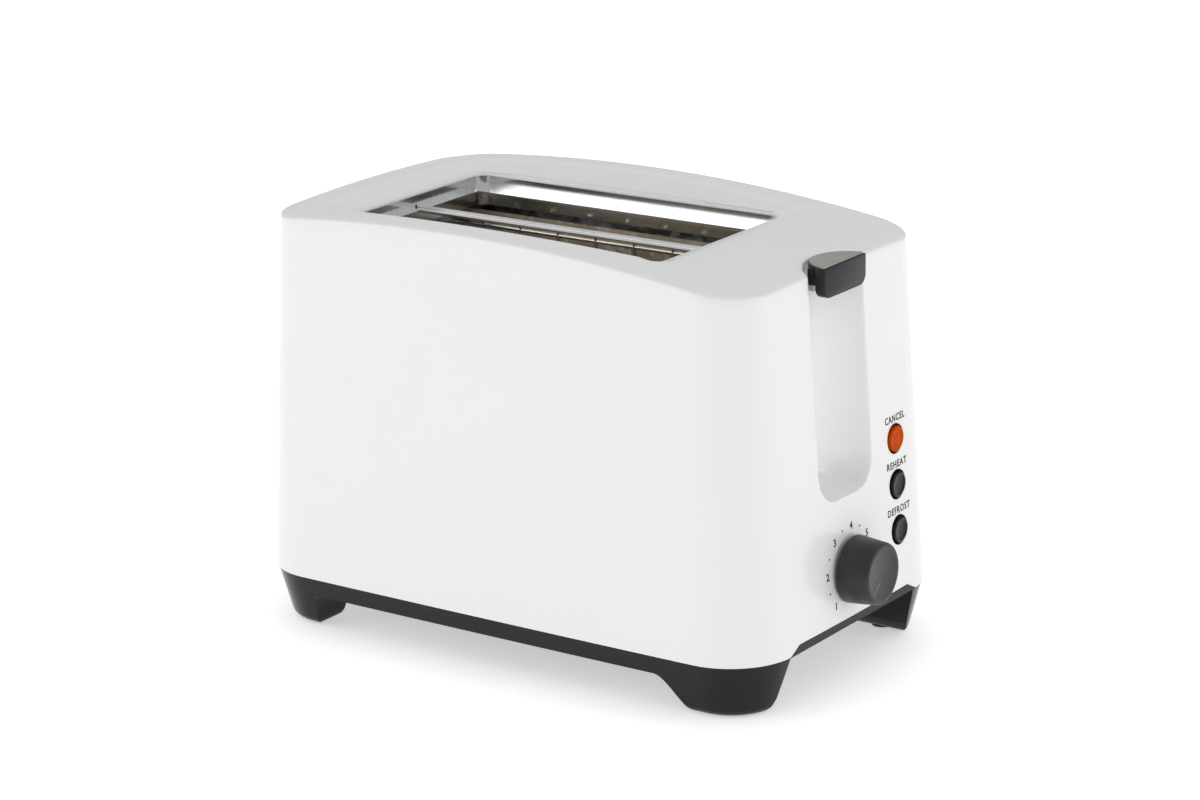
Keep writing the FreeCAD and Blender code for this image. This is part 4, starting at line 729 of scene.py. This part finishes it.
def base_tub():
    """The dark base: a rim inside the shell, a tapered strip and four round-bottomed feet."""
    def inset(z):
        return BASE_INSET + BASE_TAPER * (EDGE_HEIGHT - z) / EDGE_HEIGHT
    rings = []
    for angle in (90, 70, 50, 30, 15, 0):
        sunk = FOOT_ROUND * (1 - cos(radians(angle)))
        z = PAD_THICK + FOOT_ROUND * (1 - sin(radians(angle)))
        rings.append(base_ring(z, inset(z) + sunk))
    rings.append(base_ring(14, inset(14)))
    rings.append(base_ring(EDGE_HEIGHT - 0.15, inset(EDGE_HEIGHT)))
    rings.append(base_ring(EDGE_HEIGHT - 0.15, RIM_GAP))
    rings.append(base_ring(RIM_TOP, RIM_GAP + 0.4))
    mesh = bmesh.new()
    ring_solid(mesh, rings)
    tub = keep(mesh, "base_tub", "dark_plastic", "housing", ["base"])
    hollow = bmesh.new()
    ring_solid(hollow, [base_ring(z, inset(z) + FOOT_WALL) for z in (PAD_THICK + RIM_WALL, EDGE_HEIGHT)]
               + [base_ring(RIM_TOP + 5, RIM_GAP + RIM_WALL)])
    cavity = as_cutter(hollow)
    for jacket in between_feet(WALL):
        carve(cavity, jacket)
    for cutter in [*between_feet(), cavity, *base_openings()]:
        carve(tub, cutter)
    for end in (-1, 1):
        strip = bmesh.new()
        face = end * (HALF_LENGTH - BASE_INSET)
        low, high = sorted((face, face - end * NOTCH_DEPTH))
        wide, narrow = NOTCH_HALF - 0.4, NOTCH_HALF - NOTCH_SLANT - 0.3
        foot, top = EDGE_HEIGHT - STRIP_GAP, EDGE_HEIGHT + NOTCH_RISE - STRIP_GAP
        add_prism(strip, [(wide, foot), (narrow, top), (-narrow, top), (-wide, foot)], "x", low, high)
        bmesh.ops.recalc_face_normals(strip, faces=strip.faces)
        name = "front_edge_strip" if end > 0 else "rear_edge_strip"
        keep(strip, name, "dark_plastic", "housing")
    for polygon in tub.data.polygons:
        polygon.use_smooth = True
    tub.data.set_sharp_from_angle(angle=radians(32))


base_tub()


# ------------------------------------------------------- knob, keys, lever
DIAL_RADIUS = 17.8
DIAL_ANGLES = (225.7, 176.8, 129.4, 84.3, 39.3)


def turned(profile, centre, segments):
    """A solid of revolution about x: the profile's points are (along x, radius)."""
    mesh = bmesh.new()
    points = [mesh.verts.new((x, 0, radius)) for x, radius in profile]
    edges = [mesh.edges.new(pair) for pair in zip(points, points[1:])]
    bmesh.ops.spin(mesh, geom=points + edges, axis=(1, 0, 0), cent=(0, 0, 0), steps=segments, angle=2 * pi,
                   use_merge=True)
    bmesh.ops.remove_doubles(mesh, verts=mesh.verts, dist=0.0005)
    bmesh.ops.recalc_face_normals(mesh, faces=mesh.faces)
    bmesh.ops.translate(mesh, vec=centre, verts=mesh.verts)
    return mesh


def browning_knob():
    rear, tip = in_shell("browning_knob", 0, 0), in_shell("browning_knob", 0, 1)
    length, wide, narrow = tip - rear, 14.2, 12.95
    profile = [(length - 6, 3.05), (0, 3.05), (0, 5.2), (length - 6.2, 5.2), (length - 6.2, narrow - 2),
               (0.3, wide - 2.2),
               (0, wide - 1.6), (0, wide - 0.5), (0.15, wide - 0.15), (0.5, wide)]
    profile += [(length - 1.4, narrow + 0.1)]
    for step in range(1, 7):
        angle = radians(15 * step)
        profile.append((length - 1.3 + 1.3 * sin(angle), narrow - 1.3 + 1.3 * cos(angle)))
    profile += [(length - 0.05, narrow - 2.4), (length - 0.35, narrow - 3.2), (length - 0.40, 0),
                (length - 6, 0), (length - 6, 3.05)]
    mesh = turned(profile, (rear, CONTROLS_Y, KNOB_Z), 96)
    keep(mesh, "knob_cap", "knob_plastic", "knob", ["browning_knob"], smooth=40)
    line = bmesh.new()
    made = bmesh.ops.create_cube(line, size=1)["verts"]
    bmesh.ops.scale(line, vec=(0.25, 0.55, 8.2), verts=made)
    bmesh.ops.bevel(line, geom=list(line.edges), offset=0.08, segments=1, affect="EDGES", profile=0.5,
                    material=-1)
    bmesh.ops.translate(line, vec=(0, 0, 7.0), verts=line.verts)
    turn = Matrix.Rotation(radians(DIAL_ANGLES[0] - 90), 3, "X")
    bmesh.ops.rotate(line, cent=(0, 0, 0), matrix=turn, verts=line.verts)
    bmesh.ops.translate(line, vec=(tip - 0.36, CONTROLS_Y, KNOB_Z), verts=line.verts)
    keep(line, "knob_pointer", "knob_line", "knob")


def push_key(label, index, paint):
    """A round key: a dished cap with a raised rim on a short stem."""
    name = label + "_button"
    front, rear = in_shell(name, 0, 1), in_shell(name, 0, 0)
    r = BUTTON_RADIUS
    profile = [(rear, 0), (rear, 2), (front - 4.4, 2), (front - 4.4, r)]
    profile += [(front - 0.7, r), (front - 0.3, r - 0.12), (front - 0.08, r - 0.4), (front, r - 0.8)]
    if label == "cancel":
        profile += [(front, r - 1.0), (front - 0.3, r - 1.4), (front - 0.4, 2.6), (front - 0.4, 0)]
    else:
        profile += [(front, r - 1.0), (front - 0.12, r - 1.35), (front - 0.5, r - 1.7),
                    (front - 0.62, r - 2.3), (front - 0.75, 1.8), (front - 0.78, 0)]
    mesh = turned(profile, (0, BUTTON_Y, BUTTON_LOW + index * BUTTON_PITCH), 56)
    keep(mesh, label + "_key_cap", paint, label + "_key", [name])


def key_rings():
    """The dark sleeves that the keys run in, flush with the face."""
    for index, label in enumerate(("defrost", "reheat", "cancel")):
        z = BUTTON_LOW + index * BUTTON_PITCH
        face = end_x(BUTTON_Y, z)
        inner, outer = BUTTON_RADIUS + 0.2, RING_OUTER
        profile = [(face - 6, inner), (face - 0.9, inner), (face - 0.55, inner + 0.15),
                   (face + 0.1, outer - 0.2),
                   (face + 0.12, outer - 0.08), (face, outer), (face - 6, outer), (face - 6, inner)]
        mesh = turned(profile, (0, BUTTON_Y, z), 56)
        keep(mesh, label + "_key_ring", "button_plastic", "housing",
             ["button_rings"] if index == 0 else ())


LEVER_FRONT, LEVER_DEPTH, LEVER_HALF = 126.0, 15.2, 16.0


def d_plate(mesh, inset, low, high, soften):
    """A plate with a straight front and a round back."""
    radius = (LEVER_HALF ** 2 + LEVER_DEPTH ** 2) / (2 * LEVER_DEPTH)
    centre = LEVER_FRONT - LEVER_DEPTH + radius
    made = bmesh.ops.create_circle(mesh, cap_ends=True, segments=96, radius=radius - inset)["verts"]
    bmesh.ops.translate(mesh, vec=(centre, CONTROLS_Y, low), verts=made)
    geometry = list(mesh.verts) + list(mesh.edges) + list(mesh.faces)
    front = LEVER_FRONT - inset
    bmesh.ops.bisect_plane(mesh, geom=geometry, plane_co=(front, 0, 0), plane_no=(1, 0, 0),
                           clear_outer=True)
    bmesh.ops.translate(mesh, vec=(0, 0, high - low), verts=extruded(mesh, list(mesh.faces)))
    bmesh.ops.recalc_face_normals(mesh, faces=mesh.faces)
    rims = [edge for edge in mesh.edges if edge.calc_face_angle(0) > radians(60)]
    bmesh.ops.bevel(mesh, geom=rims, offset=soften, segments=3, affect="EDGES", profile=0.5, material=-1)


def lever():
    """The handle: a plate over a front block and a stem, with a metal pad let in on top."""
    top = in_shell("lever_knob", 2, 1)
    low = in_shell("lever_knob", 2, 0)
    mesh = bmesh.new()
    d_plate(mesh, 0.3, top - 2.4, top, 0.45)
    block = bmesh.new()
    add_block(block, (LEVER_FRONT - 4.6, CONTROLS_Y - LEVER_HALF, low),
              (LEVER_FRONT, CONTROLS_Y + LEVER_HALF, top - 0.03))
    corners = [edge for edge in block.edges
               if all(vertex.co.z < (top + low) / 2 for vertex in edge.verts)
               and abs(edge.verts[0].co.y - edge.verts[1].co.y) < 0.01]
    bmesh.ops.bevel(block, geom=corners, offset=4.5, segments=10, affect="EDGES", profile=0.5, material=-1)
    rims = [edge for edge in block.edges if edge.calc_face_angle(0) > radians(40)]
    bmesh.ops.bevel(block, geom=rims, offset=0.5, segments=3, affect="EDGES", profile=0.5, material=-1)
    data = bpy.data.meshes.new("block")
    block.to_mesh(data)
    block.free()
    mesh.from_mesh(data)
    bpy.data.meshes.remove(data)
    add_block(mesh, (LEVER_FRONT - 9, ARM_Y - 1.4, low + 5), (LEVER_FRONT - 4, ARM_Y + 1.4, top - 1))
    keep(mesh, "lever_handle", "lever_plastic", "bread_lift", ["lever_knob"])
    pad = bmesh.new()
    pad_top = in_shell("lever_pad", 2, 1)
    d_plate(pad, 0.9, top - 0.4, pad_top, 0.25)
    keep(pad, "thumb_pad", "lever_metal", "bread_lift", ["lever_pad"])


browning_knob()
push_key("cancel", 2, "amber_plastic")
push_key("reheat", 1, "button_plastic")
push_key("defrost", 0, "button_plastic")
key_rings()
lever()


# -------------------------------------------------------------- lettering
LETTER_SPREAD, LETTER_SPACE = 0.10, 1.18
INK_PROUD, INK_SUNK = 0.06, 0.10


def lettering(name, words, y, z, height, width=None):
    """Printed letters lying on the lever end's face."""
    curve = bpy.data.curves.new(name, "FONT")
    curve.body, curve.align_x, curve.align_y = words, "CENTER", "CENTER"
    curve.size = height / 0.70
    curve.offset = LETTER_SPREAD
    curve.space_character = LETTER_SPACE
    curve.resolution_u = 4
    text = bpy.data.objects.new(name, curve)
    scene.collection.objects.link(text)
    bpy.context.view_layer.update()
    data = bpy.data.meshes.new_from_object(text.evaluated_get(bpy.context.evaluated_depsgraph_get()))
    bpy.data.objects.remove(text)
    mesh = bmesh.new()
    mesh.from_mesh(data)
    bpy.data.meshes.remove(data)
    across = [vertex.co.x for vertex in mesh.verts]
    tall = [vertex.co.y for vertex in mesh.verts]
    squeeze = 1 if width is None else width / (max(across) - min(across))
    middle = ((max(across) + min(across)) / 2, (max(tall) + min(tall)) / 2)
    bmesh.ops.remove_doubles(mesh, verts=mesh.verts, dist=0.001)
    for vertex in mesh.verts:
        vertex.co = (0, y + (vertex.co.x - middle[0]) * squeeze, z + vertex.co.y - middle[1])
    return mesh


def print_on_face(mesh, name):
    """Lay a flat drawing on the end face and give it the thickness of ink."""
    raised = set(extruded(mesh, list(mesh.faces)))
    for vertex in mesh.verts:
        y, z = vertex.co.y, vertex.co.z
        vertex.co.x = end_x(y, z) - channel_depth(y, z) + (INK_PROUD if vertex in raised else -INK_SUNK)
    bmesh.ops.recalc_face_normals(mesh, faces=mesh.faces)
    keep(mesh, name, "print_ink", "housing")


def dial():
    for number, angle in enumerate(DIAL_ANGLES, start=1):
        y = CONTROLS_Y + DIAL_RADIUS * cos(radians(angle))
        z = KNOB_Z + DIAL_RADIUS * sin(radians(angle))
        print_on_face(lettering(f"dial_{number}", str(number), y, z, 3.1), f"dial_number_{number}")
    for number, (first, second) in enumerate(zip(DIAL_ANGLES, DIAL_ANGLES[1:]), start=1):
        angle = radians((first + second) / 2)
        dot = bmesh.new()
        bmesh.ops.create_circle(dot, cap_ends=True, segments=16, radius=0.45)
        bmesh.ops.rotate(dot, cent=(0, 0, 0), matrix=Matrix.Rotation(pi / 2, 3, "Y"), verts=dot.verts)
        y, z = CONTROLS_Y + DIAL_RADIUS * cos(angle), KNOB_Z + DIAL_RADIUS * sin(angle)
        bmesh.ops.translate(dot, vec=(0, y, z), verts=dot.verts)
        print_on_face(dot, f"dial_dot_{number}")


def key_labels():
    for index, (words, width) in enumerate((("DEFROST", 18.4), ("REHEAT", 16.2), ("CANCEL", 16.2))):
        z = BUTTON_LOW + index * BUTTON_PITCH + 8.8
        name = words.lower()
        print_on_face(lettering(name, words, BUTTON_Y + 0.4, z, 2.9, width), name + "_label")


dial()
key_labels()


# ------------------------------------------------------- floor and lights
FLOOR_GLOW, SKY_LOW, SKY_HIGH = 0.50, 0.54, 0.76
LIGHTS = (("key", (-1.2, -1.6, 0.8), 0.9, 4.5), ("end", (1.9, 0.9, 0.7), 0.9, 4.5))


def stage_and_lights():
    mesh = bmesh.new()
    bmesh.ops.create_grid(mesh, x_segments=1, y_segments=1, size=6)
    data = bpy.data.meshes.new("floor")
    mesh.to_mesh(data)
    mesh.free()
    floor = bpy.data.objects.new("floor", data)
    scene.collection.objects.link(floor)
    paint = Paint("pale floor", (0.9, 0.9, 0.9), 0.6)
    paint.shader.inputs["Emission Color"].default_value = (1, 1, 1, 1)
    paint.shader.inputs["Emission Strength"].default_value = FLOOR_GLOW
    data.materials.append(paint.material)
    world = bpy.data.worlds.new("studio")
    scene.world = world
    world.use_nodes = True
    sky = world.node_tree
    place = sky.nodes.new("ShaderNodeTexCoord")
    axes = sky.nodes.new("ShaderNodeSeparateXYZ")
    level = sky.nodes.new("ShaderNodeMapRange")
    for socket, value in enumerate((0.0, 0.9, SKY_LOW, SKY_HIGH), start=1):
        level.inputs[socket].default_value = value
    sky.links.new(place.outputs["Generated"], axes.inputs[0])
    sky.links.new(axes.outputs["Z"], level.inputs[0])
    sky.nodes["Background"].inputs["Color"].default_value = (1, 1, 1, 1)
    sky.links.new(level.outputs[0], sky.nodes["Background"].inputs["Strength"])
    for name, place, size, power in LIGHTS:
        light = bpy.data.lights.new(name, "AREA")
        light.shape, light.size, light.energy = "SQUARE", size, power
        lamp = bpy.data.objects.new(name, light)
        lamp.location = place
        lamp.rotation_euler = (Vector((0, 0, 0.1)) - Vector(place)).to_track_quat("-Z", "Y").to_euler()
        scene.collection.objects.link(lamp)


stage_and_lights()
